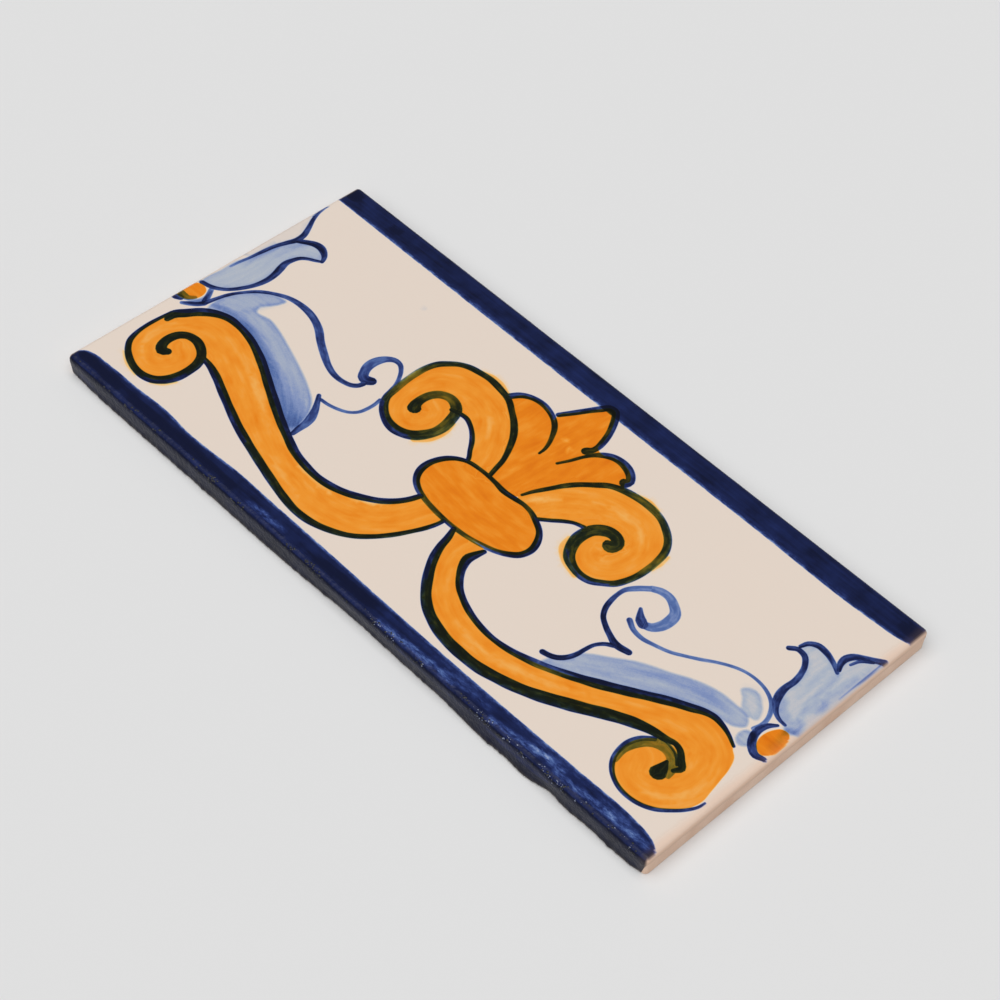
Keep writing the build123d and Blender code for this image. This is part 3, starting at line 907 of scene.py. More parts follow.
class Sheet:
    """The paint on a set of points: what the brushes left at each."""

    def __init__(self, points):
        self.points = points
        self.cobalt = np.zeros(len(points))
        self.wash = np.zeros(len(points))
        self.ochre = np.zeros(len(points))
        self.band = np.zeros(len(points))
        self.liner_flow = np.zeros((len(points), 3))
        self.fill_flow = np.zeros((len(points), 3))
        self.closest = np.full(len(points), np.inf)

    def near(self, curve, margin):
        """The numbers of the points within a margin of the curve's box."""
        low = curve[:, :2].min(0) - margin
        high = curve[:, :2].max(0) + margin
        return np.nonzero(((self.points > low) & (self.points < high)).all(1))[0]

    def stroke(self, rows, channel, closed=False, soft=LINE_SOFT, add=False):
        """Lays one brush stroke into a channel."""
        curve = curve_through(rows, closed)
        chosen = self.near(curve, curve[:, 2].max())
        gap, side, width, load, along = nearest_on(self.points[chosen], curve, closed).T
        cover = smoothstep(0.5 - (gap - width / 2) / soft) * load
        kept = getattr(self, channel)
        kept[chosen] = kept[chosen] + cover if add else np.maximum(kept[chosen], cover)
        if channel == "cobalt":
            closer = (gap < width) & (gap < self.closest[chosen])
            self.closest[chosen[closer]] = gap[closer]
            self.liner_flow[chosen[closer], 0] = along[closer]
            self.liner_flow[chosen[closer], 1] = (gap * side)[closer]

    def fill(self, rows, load, channel, soft=FILL_SOFT):
        """Fills a closed outline in a channel."""
        curve = curve_through(rows, closed=True)
        chosen = self.near(curve, 2 * soft)
        gap = nearest_on(self.points[chosen], curve, closed=True)[:, 0]
        signed = np.where(inside(self.points[chosen], curve), -gap, gap)
        cover = smoothstep(0.5 - signed / soft) * load
        kept = getattr(self, channel)
        kept[chosen] = np.maximum(kept[chosen], cover)
        return chosen, signed

    def brush_direction(self, chosen, rows):
        """Notes how the brush ran over the chosen points: the run along its path, and across it."""
        gap, side, _, _, along = nearest_on(self.points[chosen], curve_through(rows)).T
        self.fill_flow[chosen] = np.column_stack([along, gap * side, np.zeros(len(chosen))])


# %% [markdown]
# ## The painted face as one mesh
#
# A picture drawn with vertices is only as sharp as its mesh, and an even grid fine enough for a liner
# brush would be enormous. So the face is triangulated around the strokes themselves: rails run along
# both sides of every brush edge, and Blender's constrained Delaunay keeps each rail as mesh edges.
# Colour can then change between two rails a quarter of a millimetre apart, and stay calm elsewhere.

# %% Rails along every brush edge
ARRIS = 1.25
GLAZE = 0.14
FLAT_X = clay_high.x / MM - ARRIS
FLAT_Y = clay_high.y / MM - ARRIS
TOP_Z = clay_high.z / MM
GRID = 1.15
FINE_GRID = 0.55
FINE_BAND_Y = -44.0
GRID_CLEAR = 0.35
GRID_SHAKE = 0.3
RIM_CLEAR = 0.3
BAND_RAIL = 0.8
GRID_SEED = 7
random = np.random.default_rng(GRID_SEED)

rails = []


def rails_for_stroke(rows, soft=LINE_SOFT, closed=False):
    """Rails at both limits of a stroke's soft edge, and one in its middle."""
    curve = curve_through(rows, closed)
    half = curve[:, 2] / 2
    for reach in (half + soft / 2, half - soft / 2):
        rails.extend((rail, True) for rail in rail_beside(curve, reach, closed))
    rails.append((curve[:, :2], closed))


def rails_for_fill(rows, soft=FILL_SOFT):
    """Rails at both limits of a fill's soft edge."""
    curve = curve_through(rows, closed=True)
    reach = np.full(len(curve), soft / 2)
    rails.extend((rail, True) for rail in rail_beside(curve, reach, closed=True))


rails_for_stroke(BOSS, closed=True)
for rows, thinned in LINER_STROKES:
    rails_for_stroke(rows)
for rows in OCHRE_SLIPS:
    rails_for_stroke(rows, soft=FILL_SOFT)
for rows in OCHRE_FILLS.values():
    rails_for_fill(rows)
for rows in WASH_FILLS.values():
    rails_for_fill(rows, soft=WASH_SOFT)
for edge, outwards in BANDS:
    curve = curve_through(edge)
    for shift in (-FILL_SOFT / 2, FILL_SOFT / 2, outwards * BAND_RAIL):
        rails.append((curve[:, :2] + [0, shift], False))
print(len(rails), "rails,", sum(len(rail) for rail, closed in rails), "points on them")

# %% Triangulate the face
EDGE_STEP = 0.5
FILL_THE_HULL = 0
WELD = 1e-4


def even(low, high, step):
    """Places from low up to but not including high, about step apart."""
    return np.linspace(low, high, max(2, int(round((high - low) / step))), endpoint=False)


def rim_of(half_x, half_y, step):
    """The rim of the flat face, counter-clockwise from its near left corner."""
    along_x, along_y = even(-half_x, half_x, step), even(-half_y, half_y, step)
    return np.vstack([
        np.column_stack([along_x, np.full(len(along_x), -half_y)]),
        np.column_stack([np.full(len(along_y), half_x), along_y]),
        np.column_stack([-along_x, np.full(len(along_x), half_y)]),
        np.column_stack([np.full(len(along_y), -half_x), -along_y]),
    ])


def scattered_grid(low, high, step):
    """Points about step apart, shaken a little so that no rows show."""
    xs, ys = np.arange(low[0], high[0], step), np.arange(low[1], high[1], step)
    grid = np.stack(np.meshgrid(xs, ys), -1).reshape(-1, 2)
    return grid + random.uniform(-GRID_SHAKE, GRID_SHAKE, grid.shape) * step


def clear_of(points, others, distance):
    """The points that are at least distance from every one of the others."""
    cell = {}
    for x, y in others:
        cell.setdefault((int(x // distance), int(y // distance)), []).append((x, y))
    kept = []
    for x, y in points:
        column, row = int(x // distance), int(y // distance)
        close = (
            (x - u) ** 2 + (y - v) ** 2 < distance**2
            for i in (-1, 0, 1) for j in (-1, 0, 1)
            for u, v in cell.get((column + i, row + j), ())
        )
        if not any(close):
            kept.append((x, y))
    return np.array(kept)


rim = rim_of(FLAT_X, FLAT_Y, EDGE_STEP)
points = [rim]
links = [(i, (i + 1) % len(rim)) for i in range(len(rim))]
total = len(rim)
for rail, closed in rails:
    links += [(total + i, total + i + 1) for i in range(len(rail) - 1)]
    if closed:
        links.append((total + len(rail) - 1, total))
    points.append(rail)
    total += len(rail)
grid_x, grid_y = FLAT_X - RIM_CLEAR, FLAT_Y - RIM_CLEAR
coarse = scattered_grid((-grid_x, FINE_BAND_Y), (grid_x, grid_y), GRID)
fine = scattered_grid((-grid_x, -grid_y), (grid_x, FINE_BAND_Y), FINE_GRID)
points.append(clear_of(np.vstack([coarse, fine]), np.vstack(points), GRID_CLEAR))
flat = np.vstack(points)
made = delaunay_2d_cdt([Vector(p) for p in flat], links, [], FILL_THE_HULL, WELD, True)
face_points = np.array([tuple(p) for p in made[0]])
face_triangles = np.array(made[2])
middles = face_points[face_triangles].mean(1)
held = (np.abs(middles[:, 0]) < FLAT_X) & (np.abs(middles[:, 1]) < FLAT_Y)
face_triangles = face_triangles[held]
used, renumbered = np.unique(face_triangles, return_inverse=True)
face_points = face_points[used]
face_triangles = renumbered.reshape(-1, 3)
print("face:", len(face_points), "points,", len(face_triangles), "triangles")

# %% [markdown]
# ## The glaze round the edges
#
# Glaze runs over the arris and down the sides. It is thick along the snapped side, where it ran over
# the raw break and froze with a bumpy lip, and thin on the ends, where it was wiped. The coat is a
# skirt hung on the face's own rim points: at each station rays find the clay, and the glaze stands
# off from it by its thickness, down to a hem that tucks in under the clay's surface.

# %% Glaze thickness and hem
HEM_SNAPPED = 0.13
HEM_END = 4.2
HEM_MOULDED = 2.2
HEM_DRIP_SNAPPED = 0.06
HEM_DRIP_MORE = 0.54
DRIP_SIZE = 7.0
SLOW_SWELL = 0.02
LUMP = 0.07
LUMP_SIZE = 1.4
FINE_LUMP = 0.03
FINE_LUMP_SIZE = 0.6
FOOT_BEAD = 0.36
LARGE_BEAD = 0.6
SMALL_BEAD = 0.3
BEAD_TOP = 1.9
BEAD_FADE = 1.3
LUMPY_BORDER = 2.2


def wander(x, y, z, size, seed=0.0):
    """Smooth noise from -1 to 1 whose bumps are about size millimetres apart."""
    return noise.noise(Vector((x / size + seed, y / size - seed, z / size)))


def snapped_share(outward):
    """1 where the outward direction points to the snapped side, 0 away from it."""
    return float(rising(-outward[1], 0.4, 0.6))


def hem_height(x, y, outward):
    """How far above the bed the glaze ends, at one station."""
    end_share = float(smoothstep(abs(outward[0])))
    side = HEM_SNAPPED if outward[1] < 0 else HEM_MOULDED
    drip = HEM_DRIP_SNAPPED + HEM_DRIP_MORE * (1 - snapped_share(outward))
    return side * (1 - end_share) + HEM_END * end_share + drip * wander(x, y, 0, DRIP_SIZE, 3.1)


def thickness(x, y, z, outward):
    """The glaze's thickness: even on the face, lumpy on the snapped side, beaded at its foot."""
    slow = SLOW_SWELL * wander(x, y, z, 9.0)
    if outward is None:
        rough = float(rising(-y - FLAT_Y, -LUMPY_BORDER, LUMPY_BORDER))
    else:
        rough = snapped_share(outward)
    lumps = LUMP * wander(x, y, z, LUMP_SIZE, 5.0)
    lumps += FINE_LUMP * wander(x, y, z, FINE_LUMP_SIZE, 9.0)
    large = LARGE_BEAD * max(0.0, wander(x, 0, z / 2, 1.7, 2.0))
    small = SMALL_BEAD * wander(x, 0, z / 2, 0.9, 7.0)
    beads = (FOOT_BEAD + large + small) * float(rising(BEAD_TOP - z, 0, BEAD_FADE))
    return GLAZE + slow + rough * (lumps + beads)


# %% Find the clay from outside
SKIRT_ANGLES = [75, 60, 45, 30, 15, 0]
WALL_ROWS = 10
INSIDE_ANGLES = [0, 45]
INSIDE_DEPTH = 0.05
CORNER_STEPS = 6
ON_RIM = 1e-3
AXIS_Z = TOP_Z - ARRIS
FAR = 8.0
clay_places = [tuple(vertex.co / MM) for vertex in clay.data.vertices]
clay_faces = [tuple(face.vertices) for face in clay.data.polygons]
clay_skin = BVHTree.FromPolygons(clay_places, clay_faces, epsilon=1e-5)
print("clay skin:", len(clay_faces), "faces")


def clay_at(axis, direction):
    """Where a ray from outside meets the clay, looking back along direction at a point on the axis."""
    start = axis + direction * FAR
    hit = clay_skin.ray_cast(start, -direction, FAR + 1.0)[0]
    return hit if hit is not None else axis + direction * ARRIS


def rim_stations(points):
    """Every face point on the rim, in order, with its outward direction.

    A corner comes again with each of its turning directions.
    """
    x, y = points.T
    sides = [(y, -FLAT_Y, x, -90), (x, FLAT_X, y, 0), (y, FLAT_Y, -x, 90), (x, -FLAT_X, -y, 180)]
    stations = []
    for across, limit, order, heading in sides:
        index = np.nonzero(np.isclose(across, limit, atol=ON_RIM))[0]
        index = index[np.argsort(order[index])]
        stations += [(int(i), heading) for i in index]
        turn = np.linspace(0, 90, CORNER_STEPS + 1)[1:-1]
        stations += [(int(index[-1]), heading + angle) for angle in turn]
    turns = [(index, math.radians(heading)) for index, heading in stations]
    return [(index, np.array([math.cos(turn), math.sin(turn)])) for index, turn in turns]


def skirt_column(x, y, outward):
    """The glaze's section at one station: down outside from rim to hem, then back up inside."""
    across = Vector((outward[0], outward[1], 0))
    axis = Vector((x, y, AXIS_Z))
    outer, inner = [], []
    for angle in SKIRT_ANGLES:
        turn = math.radians(angle)
        direction = across * math.cos(turn) + Vector((0, 0, math.sin(turn)))
        skin = clay_at(axis, direction)
        outer.append(skin + direction * thickness(*skin, outward))
    hem = min(hem_height(x, y, outward), AXIS_Z - 0.3)
    for row in range(1, WALL_ROWS + 1):
        height = AXIS_Z + (hem - AXIS_Z) * row / WALL_ROWS
        skin = clay_at(Vector((x, y, height)), across)
        thin = 1 - 0.9 * (row / WALL_ROWS) ** 6
        outer.append(skin + across * thickness(*skin, outward) * thin)
    skin = clay_at(Vector((x, y, hem - 0.05)), across)
    outer.append(skin - across * INSIDE_DEPTH)
    for angle in INSIDE_ANGLES:
        turn = math.radians(angle)
        direction = across * math.cos(turn) + Vector((0, 0, math.sin(turn)))
        inner.append(clay_at(axis, direction) - direction * INSIDE_DEPTH)
    inner.append(Vector((x, y, TOP_Z - INSIDE_DEPTH)))
    return outer + inner


# %% Build the glaze coat
stations = rim_stations(face_points)
coat_points = [(x, y, TOP_Z + thickness(x, y, TOP_Z, None)) for x, y in face_points]
coat_faces = [tuple(int(i) for i in triangle) for triangle in face_triangles]
columns = []
for index, outward in stations:
    column = skirt_column(*face_points[index], outward)
    columns.append([index] + list(range(len(coat_points), len(coat_points) + len(column))))
    coat_points += [tuple(p) for p in column]
for here, there in zip(columns, columns[1:] + columns[:1]):
    for row in range(len(here) - 1):
        loop = [here[row], here[row + 1], there[row + 1], there[row]]
        coat_faces.append(tuple(dict.fromkeys(loop)))
coat_faces.append(tuple(column[-1] for column in columns[::-1]))
outward_x = np.zeros(len(coat_points))
for (index, outward), column in zip(stations, columns):
    outward_x[column] = abs(outward[0])
print("coat:", len(coat_points), "points,", len(coat_faces), "faces,", len(stations), "stations")

# %% Lay cobalt lines and ochre on the coat
SLIP_SOFT = 0.6
STARVED_AND_GLINT_SOFT = 1.0
UNDER_LINE_WIDTH = 0.84
UNDER_LINE_LOAD = 0.75
BRUSHED_MARGIN = 1.0

coat = np.array(coat_points)
sheet = Sheet(coat[:, :2].copy())
sheet.stroke(BOSS, "cobalt", closed=True)
for rows, thinned in LINER_STROKES:
    loaded = [(x, y, width, thinned * (load or [1.0])[0]) for x, y, width, *load in rows]
    sheet.stroke(loaded, "cobalt")
sheet.fill_flow[:] = sheet.points[:, [0, 1, 1]]
for name, rows in OCHRE_FILLS.items():
    chosen, signed = sheet.fill(rows, OCHRE_LOADS[name], "ochre")
    if name in BRUSH_PATHS:
        sheet.brush_direction(chosen[signed < BRUSHED_MARGIN], BRUSH_PATHS[name])
for rows in OCHRE_SLIPS:
    sheet.stroke(rows, "ochre", soft=SLIP_SOFT)
for rows in OCHRE_UNDER_LINES:
    hidden = [(x, y, UNDER_LINE_WIDTH * width, UNDER_LINE_LOAD) for x, y, width, *load in rows]
    sheet.stroke(hidden, "ochre")
for rows in OCHRE_STARVED_AND_GLINTS:
    sheet.stroke(rows, "ochre", soft=STARVED_AND_GLINT_SOFT, add=True)
sheet.ochre = np.maximum(sheet.ochre, 0)
print("cobalt on", int((sheet.cobalt > 0.1).sum()), "points, ochre on", int((sheet.ochre > 0.1).sum()))

# %% Lay the washes and the bands
WASH_STROKE_SOFT = 2.0
SPECK_SOFT = 0.4
BAND_PATCH_SOFT = 1.4
RIM_DARK = 0.06
RIM_FROM_EDGE = 0.5
RIM_WIDTH = 0.45
BAND_EDGE_LOAD = 0.62
BAND_EDGE_WIDTH = 0.9

in_wash = np.zeros(len(coat))
for name, rows in WASH_FILLS.items():
    chosen, signed = sheet.fill(rows, WASH_LOADS[name], "wash", soft=WASH_SOFT)
    if name in BRUSH_PATHS:
        sheet.brush_direction(chosen[signed < BRUSHED_MARGIN], BRUSH_PATHS[name])
    rim_dark = RIM_DARK * np.exp(-((signed + RIM_FROM_EDGE) / RIM_WIDTH) ** 2)
    in_wash[chosen] = np.maximum(in_wash[chosen], smoothstep(0.5 - signed / WASH_SOFT))
    sheet.wash[chosen] += rim_dark * in_wash[chosen]
for rows in WASH_STROKES:
    sheet.stroke(rows, "wash", soft=WASH_STROKE_SOFT, add=True)
for x, y, size, load in PIT_SHADE_SPECKS:
    dot = [(x, y, size, load), (x + 0.2, y - 0.1, size, load)]
    sheet.stroke(dot, "wash", soft=SPECK_SOFT, add=True)
cover = np.zeros(len(coat))
for edge, outwards in BANDS:
    curve = curve_through(edge)
    line = np.interp(coat[:, 0], curve[:, 0], curve[:, 1])
    depth_in = (coat[:, 1] - line) * outwards
    thinner_edge = BAND_EDGE_LOAD + (1 - BAND_EDGE_LOAD) * smoothstep(depth_in / BAND_EDGE_WIDTH)
    laid = smoothstep(0.5 + depth_in / FILL_SOFT)
    cover = np.maximum(cover, laid)
    sheet.band = np.maximum(sheet.band, laid * thinner_edge)
for rows in BAND_LOADS_AND_HIGHLIGHTS:
    sheet.stroke(rows, "band", soft=BAND_PATCH_SOFT, add=True)
sheet.band = np.maximum(sheet.band, 0) * cover
print("wash on", int((sheet.wash > 0.02).sum()), "points, bands on", int((sheet.band > 0.1).sum()))

# %% [markdown]
# ## Where the glaze wears thin, and painted sheen on the snapped side
#
# The wipe and the knocks of handling leave other marks than the brush does. The ends were wiped, so
# the clay shows there and the glaze thins before it. The snapped side took a run of cobalt that is
# rough and darker towards its foot, and its arris is dull. Each of these is again one number from 0
# to 1 on every point, worked out from where the point is. A few wide patches on that side, given by
# their middle, their half sizes and how much lighter they are, are painted sheen: they lighten the
# run where the glossy wall catches light.

# %% Wear from where a point is
# Lighter patches on the snapped side's wall, as x, z, half length, half height and how much lighter:
# painted sheen where the glossy wall catches light.
WALL_SHEEN_PATCHES = [
    (-92.5, 2.5, 5, 1.4, 0.5), (30, 4.5, 24, 0.8, 0.4), (62, 4.1, 10, 1.1, 0.72),
    (-40, 3.6, 12, 1.0, 0.2),
]
FRINGE_TOP = 1.9
FRINGE_FADE = 1.4
RUBBED = 0.65
RUBBED_FROM = 96.8
RUBBED_OVER = 2.6
PAINT_HOLDS = 0.94

along, height = coat[:, 0], coat[:, 2]
past_flat = -coat[:, 1] - FLAT_Y
depth_down = AXIS_Z - height
end_share = rising(outward_x, 0.6, 0.25)
painted = smoothstep(2 * (sheet.band + sheet.cobalt + sheet.ochre) + 6 * sheet.wash)
rubbed_line = RUBBED_FROM + 0.25 * np.sin(coat[:, 1] / 3.1)
rubbed = RUBBED * rising(along, rubbed_line, RUBBED_OVER) * (1 - PAINT_HOLDS * painted)
bare = np.maximum(rubbed, end_share * rising(TOP_Z + GLAZE - height, 0, 0.8))
rough = rising(past_flat, -0.7, 1.3)
near_side = rising(past_flat, 0.5, 0.4) * rising(depth_down, -1.3, 0.6)
# The sheen patches lighten the dark run: painted sheen.
for x, z, half_length, half_height, lighter in WALL_SHEEN_PATCHES:
    away = ((along - x) / half_length) ** 2 + ((height - z) / half_height) ** 2
    near_side *= 1 - lighter * np.exp(-away)
# The fringe makes the snapped side darker towards its foot.
fringe = rough * rising(FRINGE_TOP - height, 0, FRINGE_FADE)
fade = 1 - end_share * rising(depth_down, -1.0, 1.0)
arris = rising(past_flat, 0.1, 0.5) * (1 - rising(depth_down, -0.9, 0.4))
print("bare on", int((bare > 0.5).sum()), "points")

# %% [markdown]
# ## The coat with its paint
#
# The mesh stores every depth by name on its points, as an attribute. A painted image would do as well
# on a flat face, but it would need unwrapping round the arris, and it has only so many pixels.

# %% Make the coat's mesh
glaze_mesh = bpy.data.meshes.new("glaze")
glaze_mesh.from_pydata([tuple(p) for p in coat * MM], [], coat_faces)
glaze_mesh.validate()
glaze = bpy.data.objects.new("glaze", glaze_mesh)
bpy.context.scene.collection.objects.link(glaze)
for name, values in {
    "cobalt": sheet.cobalt * fade, "wash": sheet.wash * fade,
    "ochre": sheet.ochre * fade, "band": sheet.band * fade,
    "bare": bare, "near_side": near_side, "rough": rough, "fringe": fringe, "arris": arris,
}.items():
    attribute = glaze_mesh.attributes.new(name, "FLOAT", "POINT")
    attribute.data.foreach_set("value", values.astype(np.float32))
for name, values in {"liner_flow": sheet.liner_flow, "fill_flow": sheet.fill_flow}.items():
    attribute = glaze_mesh.attributes.new(name, "FLOAT_VECTOR", "POINT")
    attribute.data.foreach_set("vector", (values * MM).astype(np.float32).ravel())
glaze_mesh.shade_smooth()
print("glaze:", sum(len(p.vertices) - 2 for p in glaze_mesh.polygons), "triangles")

# %% [markdown]
# ## The glaze's material
#
# Each vertex says how much of each oxide lies there. Ramps turn those depths into colour: ochre
# replaces the cream of the tin glaze, then cobalt multiplies over it, as glass over glass, with one
# ramp over cream and an olive one over ochre. Noise in the depths, not in the colours, gives brush
# streaks and pooling, because that is where the real unevenness comes from.

# %% Colours of the oxides
CREAM = linear(228, 213, 200)
COBALT_OVER_GLAZE = [
    (0.0, (1, 1, 1, 1)), (0.06, (0.55, 0.71, 0.96, 1)), (0.125, (0.29, 0.44, 0.89, 1)),
    (0.2, (0.12, 0.24, 0.67, 1)), (0.3, (0.042, 0.09, 0.37, 1)), (0.4, (0.012, 0.027, 0.15, 1)),
    (0.5, (0.004, 0.009, 0.055, 1)), (1.0, (0.001, 0.002, 0.012, 1)),
]
COBALT_OVER_OCHRE = [
    (0.0, (1, 1, 1, 1)), (0.06, (0.7, 0.8, 0.75, 1)), (0.125, (0.38, 0.56, 0.45, 1)),
    (0.2, (0.18, 0.37, 0.3, 1)), (0.3, (0.06, 0.16, 0.2, 1)), (0.4, (0.014, 0.055, 0.14, 1)),
    (0.5, (0.005, 0.024, 0.1, 1)), (1.0, (0.002, 0.01, 0.05, 1)),
]
OCHRE_STOPS = [
    (0.0, CREAM), (0.18, linear(240, 200, 135)), (0.4, linear(241, 172, 84)),
    (0.56, linear(239, 150, 46)), (0.7, linear(232, 131, 22)), (0.85, linear(222, 116, 12)),
    (1.0, linear(196, 98, 10)),
]
OCHRE_RANGE = 1.4
COBALT_RANGE = 2.0
FRINGE_BROWN = linear(40, 34, 34)
ARRIS_CLAY = linear(223, 190, 167)
print(len(COBALT_OVER_GLAZE), "stops of cobalt,", len(OCHRE_STOPS), "of ochre")

# %% Noises and stored depths
STORED = ["cobalt", "wash", "ochre", "band", "bare", "near_side", "rough", "fringe", "arris"]

majolica = Finish("painted_tin_glaze")
between, plus, swing, times = majolica.between, majolica.plus, majolica.swing, majolica.times
depth = {name: majolica.stored(name) for name in STORED}
fill_flow = majolica.stored("fill_flow", output="Vector")
liner_flow = majolica.stored("liner_flow", output="Vector")

patches = majolica.noise(6.0, detail=3.0)
mottle = majolica.noise(1.6, detail=3.0, roughness=0.6)
grain = majolica.noise(0.35, detail=2.0, roughness=0.6)
pull = majolica.noise(1.1, detail=3.0, roughness=0.6, stretch=(14, 1, 1))
speckle = majolica.noise(1.3, detail=4.0, roughness=0.75, stretch=(2.5, 1, 1))
pores = majolica.noise(1.0, detail=2.0, roughness=0.6)
bristles = majolica.noise(1.3, detail=2.0, roughness=0.55, stretch=(9, 1, 1), where=fill_flow)
dabs = majolica.noise(3.0, detail=2.0, stretch=(2.4, 1, 1), where=fill_flow)
liner_load = majolica.noise(1.2, detail=2.0, stretch=(4, 1, 1), where=liner_flow)
print(len(majolica.tree.nodes), "nodes for the noises and the stored depths")

# %% Depths of ochre and cobalt
ochre_swing = plus(swing(dabs, -0.13, 0.13), swing(bristles, -0.07, 0.07))
ochre_depth = times(depth["ochre"], plus(1.0, ochre_swing))

line_swing = times(between(liner_load, 0.35, 0.6, 0.76, 1.12), swing(mottle, 0.9, 1.1))
line_depth = times(depth["cobalt"], line_swing)
wash_swing = plus(swing(bristles, 0.84, 1.16), between(grain, 0.35, 0.75, -0.08, 0.12))
wash_depth = times(depth["wash"], wash_swing)
band_swing = plus(swing(pull, 0.84, 0.96), swing(patches, -0.07, 0.08))
starved = majolica.math("SUBTRACT", 1.0, depth["band"], clamp=True)
streaks = times(between(speckle, 0.35, 0.65, -1.1, 1.1), starved)
band_depth = times(depth["band"], plus(band_swing, streaks))
side_depth = times(depth["near_side"], swing(patches, 1.2, 1.7))
edge_depth = majolica.math("MAXIMUM", band_depth, side_depth)
cobalt_depth = plus(plus(line_depth, wash_depth), edge_depth)

# %% Colour from the depths
ground = majolica.ramp(majolica.math("DIVIDE", ochre_depth, OCHRE_RANGE), OCHRE_STOPS)
cobalt_place = majolica.math("DIVIDE", cobalt_depth, COBALT_RANGE)
blue = majolica.ramp(cobalt_place, COBALT_OVER_GLAZE)
olive = majolica.ramp(cobalt_place, COBALT_OVER_OCHRE)
over_glaze = majolica.mix(1.0, ground, blue, blend="MULTIPLY")
over_ochre = majolica.mix(1.0, ground, olive, blend="MULTIPLY")
decorated = majolica.mix(between(ochre_depth, 0.05, 0.5), over_glaze, over_ochre)
# Brown-black towards the foot of the snapped side, by the fringe.
darker_at_foot = majolica.mix(times(depth["fringe"], 0.8), decorated, FRINGE_BROWN)
worn = majolica.mix(depth["bare"], darker_at_foot, ARRIS_CLAY)
majolica.feed(majolica.shader.inputs["Base Color"], worn)

# %% Gloss and relief of the glaze
GLAZE_IOR = 1.5
RELIEF_DEPTH = 0.02

dryness = plus(times(depth["bare"], 0.5), times(depth["rough"], 0.22))
majolica.feed(majolica.shader.inputs["Roughness"], plus(swing(mottle, 0.12, 0.2), dryness))
dull_arris = times(depth["arris"], 0.16)
gloss = majolica.math("SUBTRACT", between(depth["rough"], 0.0, 1.0, 0.38, 0.27), dull_arris)
majolica.feed(majolica.shader.inputs["Specular IOR Level"], gloss)
majolica.shader.inputs["IOR"].default_value = GLAZE_IOR
pits = times(swing(pores, 0.0, 5.0), depth["rough"])
swell = plus(times(patches, 0.7), times(grain, 0.03))
majolica.bump(plus(swell, pits), RELIEF_DEPTH)
glaze_mesh.materials.append(majolica.material)
print(len(majolica.tree.nodes), "nodes in the glaze's material")

# %% [markdown]
# ## Grit along the snapped edge
#
# Where the glaze ran over the raw break it caught crumbs of clay and glass. Some grains are dark; the
# pale ones take a painted highlight for their colour, the glints of light on those bumps. Hundreds of
# crumbs are a task for Geometry Nodes: the tree scatters a small faceted grain on a strip of the coat,
# in clusters, sizes it at random, draws it out long and lays it flat to the surface. One tree serves
# both kinds of crumb, because what differs between them is an input.

# %% Grit tree
STRIP_LOW = 4.9
STRIP_BACK = -48
GRAIN_FLAT = 0.6
GRAIN_LONG = 1.5
CLUSTERS_PER_M = 260.0
SIZE_SEED = 3
FACES_PER_GRAIN = 20


def grit_tree():
    """Scatters faceted grains on a surface, in clusters."""
    tree = bpy.data.node_groups.new("scatter_grit", "GeometryNodeTree")
    sockets = {
        "Surface": "Geometry", "Grains per m2": "Float", "Smallest": "Float", "Largest": "Float",
        "Seed": "Int", "Finish": "Material",
    }
    for name, kind in sockets.items():
        tree.interface.new_socket(name, in_out="INPUT", socket_type="NodeSocket" + kind)
    tree.interface.new_socket("Grit", in_out="OUTPUT", socket_type="NodeSocketGeometry")
    given = tree.nodes.new("NodeGroupInput").outputs

    def node(kind, inputs=(), **settings):
        """A node of that kind, wired or set from (socket, value) pairs."""
        made = tree.nodes.new(kind)
        for name, value in settings.items():
            setattr(made, name, value)
        for socket, value in inputs:
            if isinstance(value, bpy.types.NodeSocket):
                tree.links.new(value, made.inputs[socket])
            else:
                made.inputs[socket].default_value = value
        return made

    def product(first, second):
        """Two numbers multiplied."""
        return node("ShaderNodeMath", [(0, first), (1, second)], operation="MULTIPLY").outputs[0]

    clusters = node("ShaderNodeTexNoise", [("Scale", CLUSTERS_PER_M), ("Detail", 1.0)]).outputs["Fac"]
    limits = [("Value", clusters), ("From Min", 0.5), ("From Max", 0.72)]
    crowd = product(given["Grains per m2"], node("ShaderNodeMapRange", limits).outputs[0])
    bed = [("Mesh", given["Surface"]), ("Density", crowd), ("Seed", given["Seed"])]
    spots = node("GeometryNodeDistributePointsOnFaces", bed).outputs
    grain = node("GeometryNodeMeshIcoSphere", [("Radius", 1.0), ("Subdivisions", 1)]).outputs["Mesh"]
    sizes = [(2, given["Smallest"]), (3, given["Largest"]), ("Seed", SIZE_SEED)]
    size = node("FunctionNodeRandomValue", sizes).outputs[1]
    lengths = [("X", product(size, GRAIN_LONG)), ("Y", size), ("Z", product(size, GRAIN_FLAT))]
    shape = node("ShaderNodeCombineXYZ", lengths).outputs[0]
    grains = [("Points", spots["Points"]), ("Rotation", spots["Rotation"]), ("Scale", shape)]
    placed = node("GeometryNodeInstanceOnPoints", grains + [("Instance", grain)]).outputs[0]
    solid = node("GeometryNodeRealizeInstances", [("Geometry", placed)]).outputs[0]
    dressed = node("GeometryNodeSetMaterial", [("Geometry", solid), ("Material", given["Finish"])])
    tree.links.new(dressed.outputs[0], tree.nodes.new("NodeGroupOutput").inputs["Grit"])
    return tree


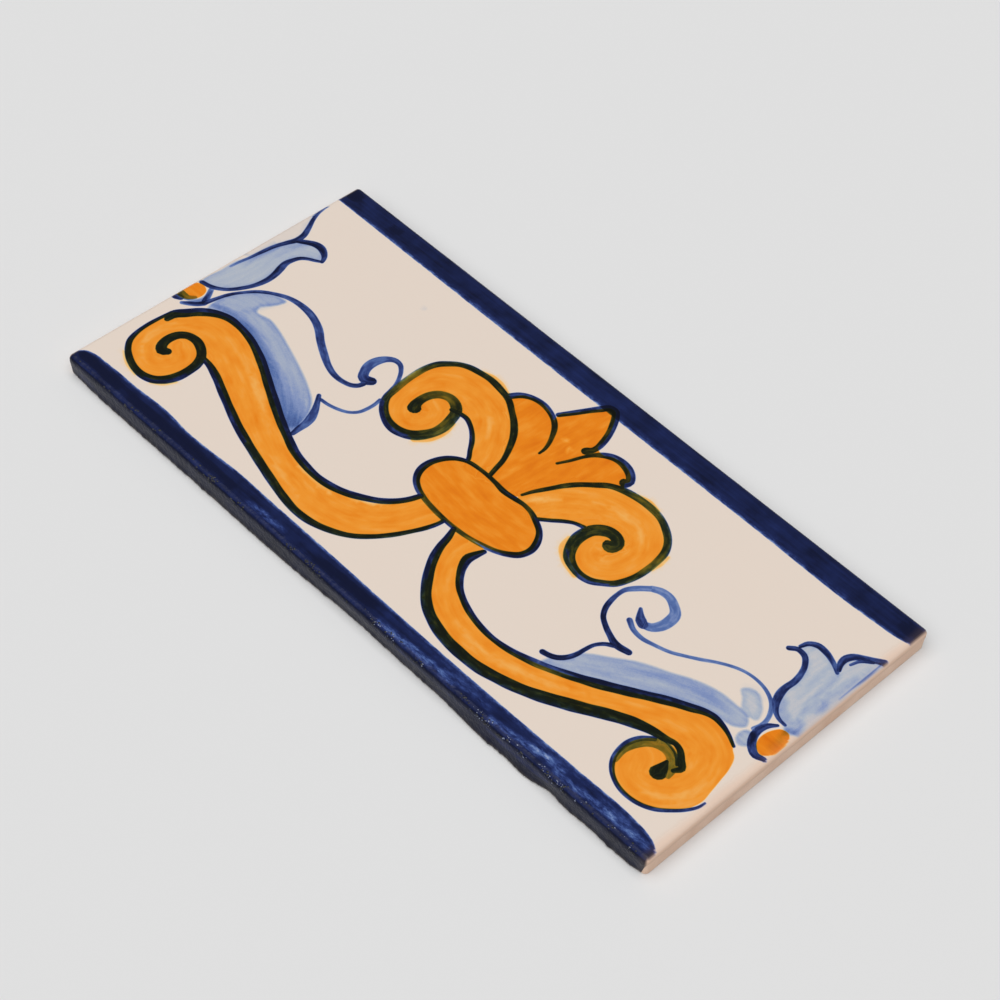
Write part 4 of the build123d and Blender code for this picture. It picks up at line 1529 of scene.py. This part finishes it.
# %% Scatter the grit
KINDS = [
    # Pale grains: real bumps on the arris, whose pale colour is a painted highlight, the glints of light
    # on them.
    (
        "pale_grit_painted_glints",
        5,
        linear(128, 136, 160),
        0.35,
        {"Grains per m2": 1800000.0, "Smallest": 0.05, "Largest": 0.17, "Seed": 11},
    ),
    (
        "dark_grit",
        -99,
        linear(16, 18, 26),
        0.3,
        {"Grains per m2": 2400000.0, "Smallest": 0.08, "Largest": 0.3, "Seed": 4},
    ),
]


def strip_from(first_x):
    """The coat's faces over the snapped arris, from one place along the tile, as a mesh of their own."""
    faces = []
    for face in coat_faces[:-1]:
        corners = coat[list(face)]
        over_arris = corners[:, 1].max() < STRIP_BACK and corners[:, 2].min() > STRIP_LOW
        if over_arris and corners[:, 0].min() > first_x:
            faces.append(face)
    used = sorted({i for face in faces for i in face})
    number = {old: new for new, old in enumerate(used)}
    corners = [tuple(coat[i] * MM) for i in used]
    mesh = bpy.data.meshes.new("strip")
    mesh.from_pydata(corners, [], [[number[i] for i in face] for face in faces])
    return mesh


scatter = grit_tree()
print(len(scatter.nodes), "nodes in the grit's tree")
grits = []
for name, first_x, colour, roughness, settings in KINDS:
    finish = Finish(name)
    finish.shader.inputs["Base Color"].default_value = colour
    finish.shader.inputs["Roughness"].default_value = roughness
    bed = bpy.data.objects.new(name + "_bed", strip_from(first_x))
    bpy.context.scene.collection.objects.link(bed)
    scattered = bed.modifiers.new("scatter", "NODES")
    scattered.node_group = scatter
    for socket in scatter.interface.items_tree:
        if socket.name in ("Smallest", "Largest"):
            scattered[socket.identifier] = settings[socket.name] * MM
        elif socket.name in settings:
            scattered[socket.identifier] = settings[socket.name]
        elif socket.name == "Finish":
            scattered[socket.identifier] = finish.material
    bpy.context.view_layer.update()
    evaluated = bed.evaluated_get(bpy.context.evaluated_depsgraph_get())
    grit = bpy.data.objects.new(name, bpy.data.meshes.new_from_object(evaluated))
    bpy.context.scene.collection.objects.link(grit)
    bpy.data.objects.remove(bed)
    grits.append(grit)
    print(name, len(grit.data.polygons) // FACES_PER_GRAIN, "grains")

# %% Hand over to the frame
for piece in [glaze] + grits:
    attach(piece, "root")
print("pieces on the tile:", [piece.name for piece in [glaze] + grits])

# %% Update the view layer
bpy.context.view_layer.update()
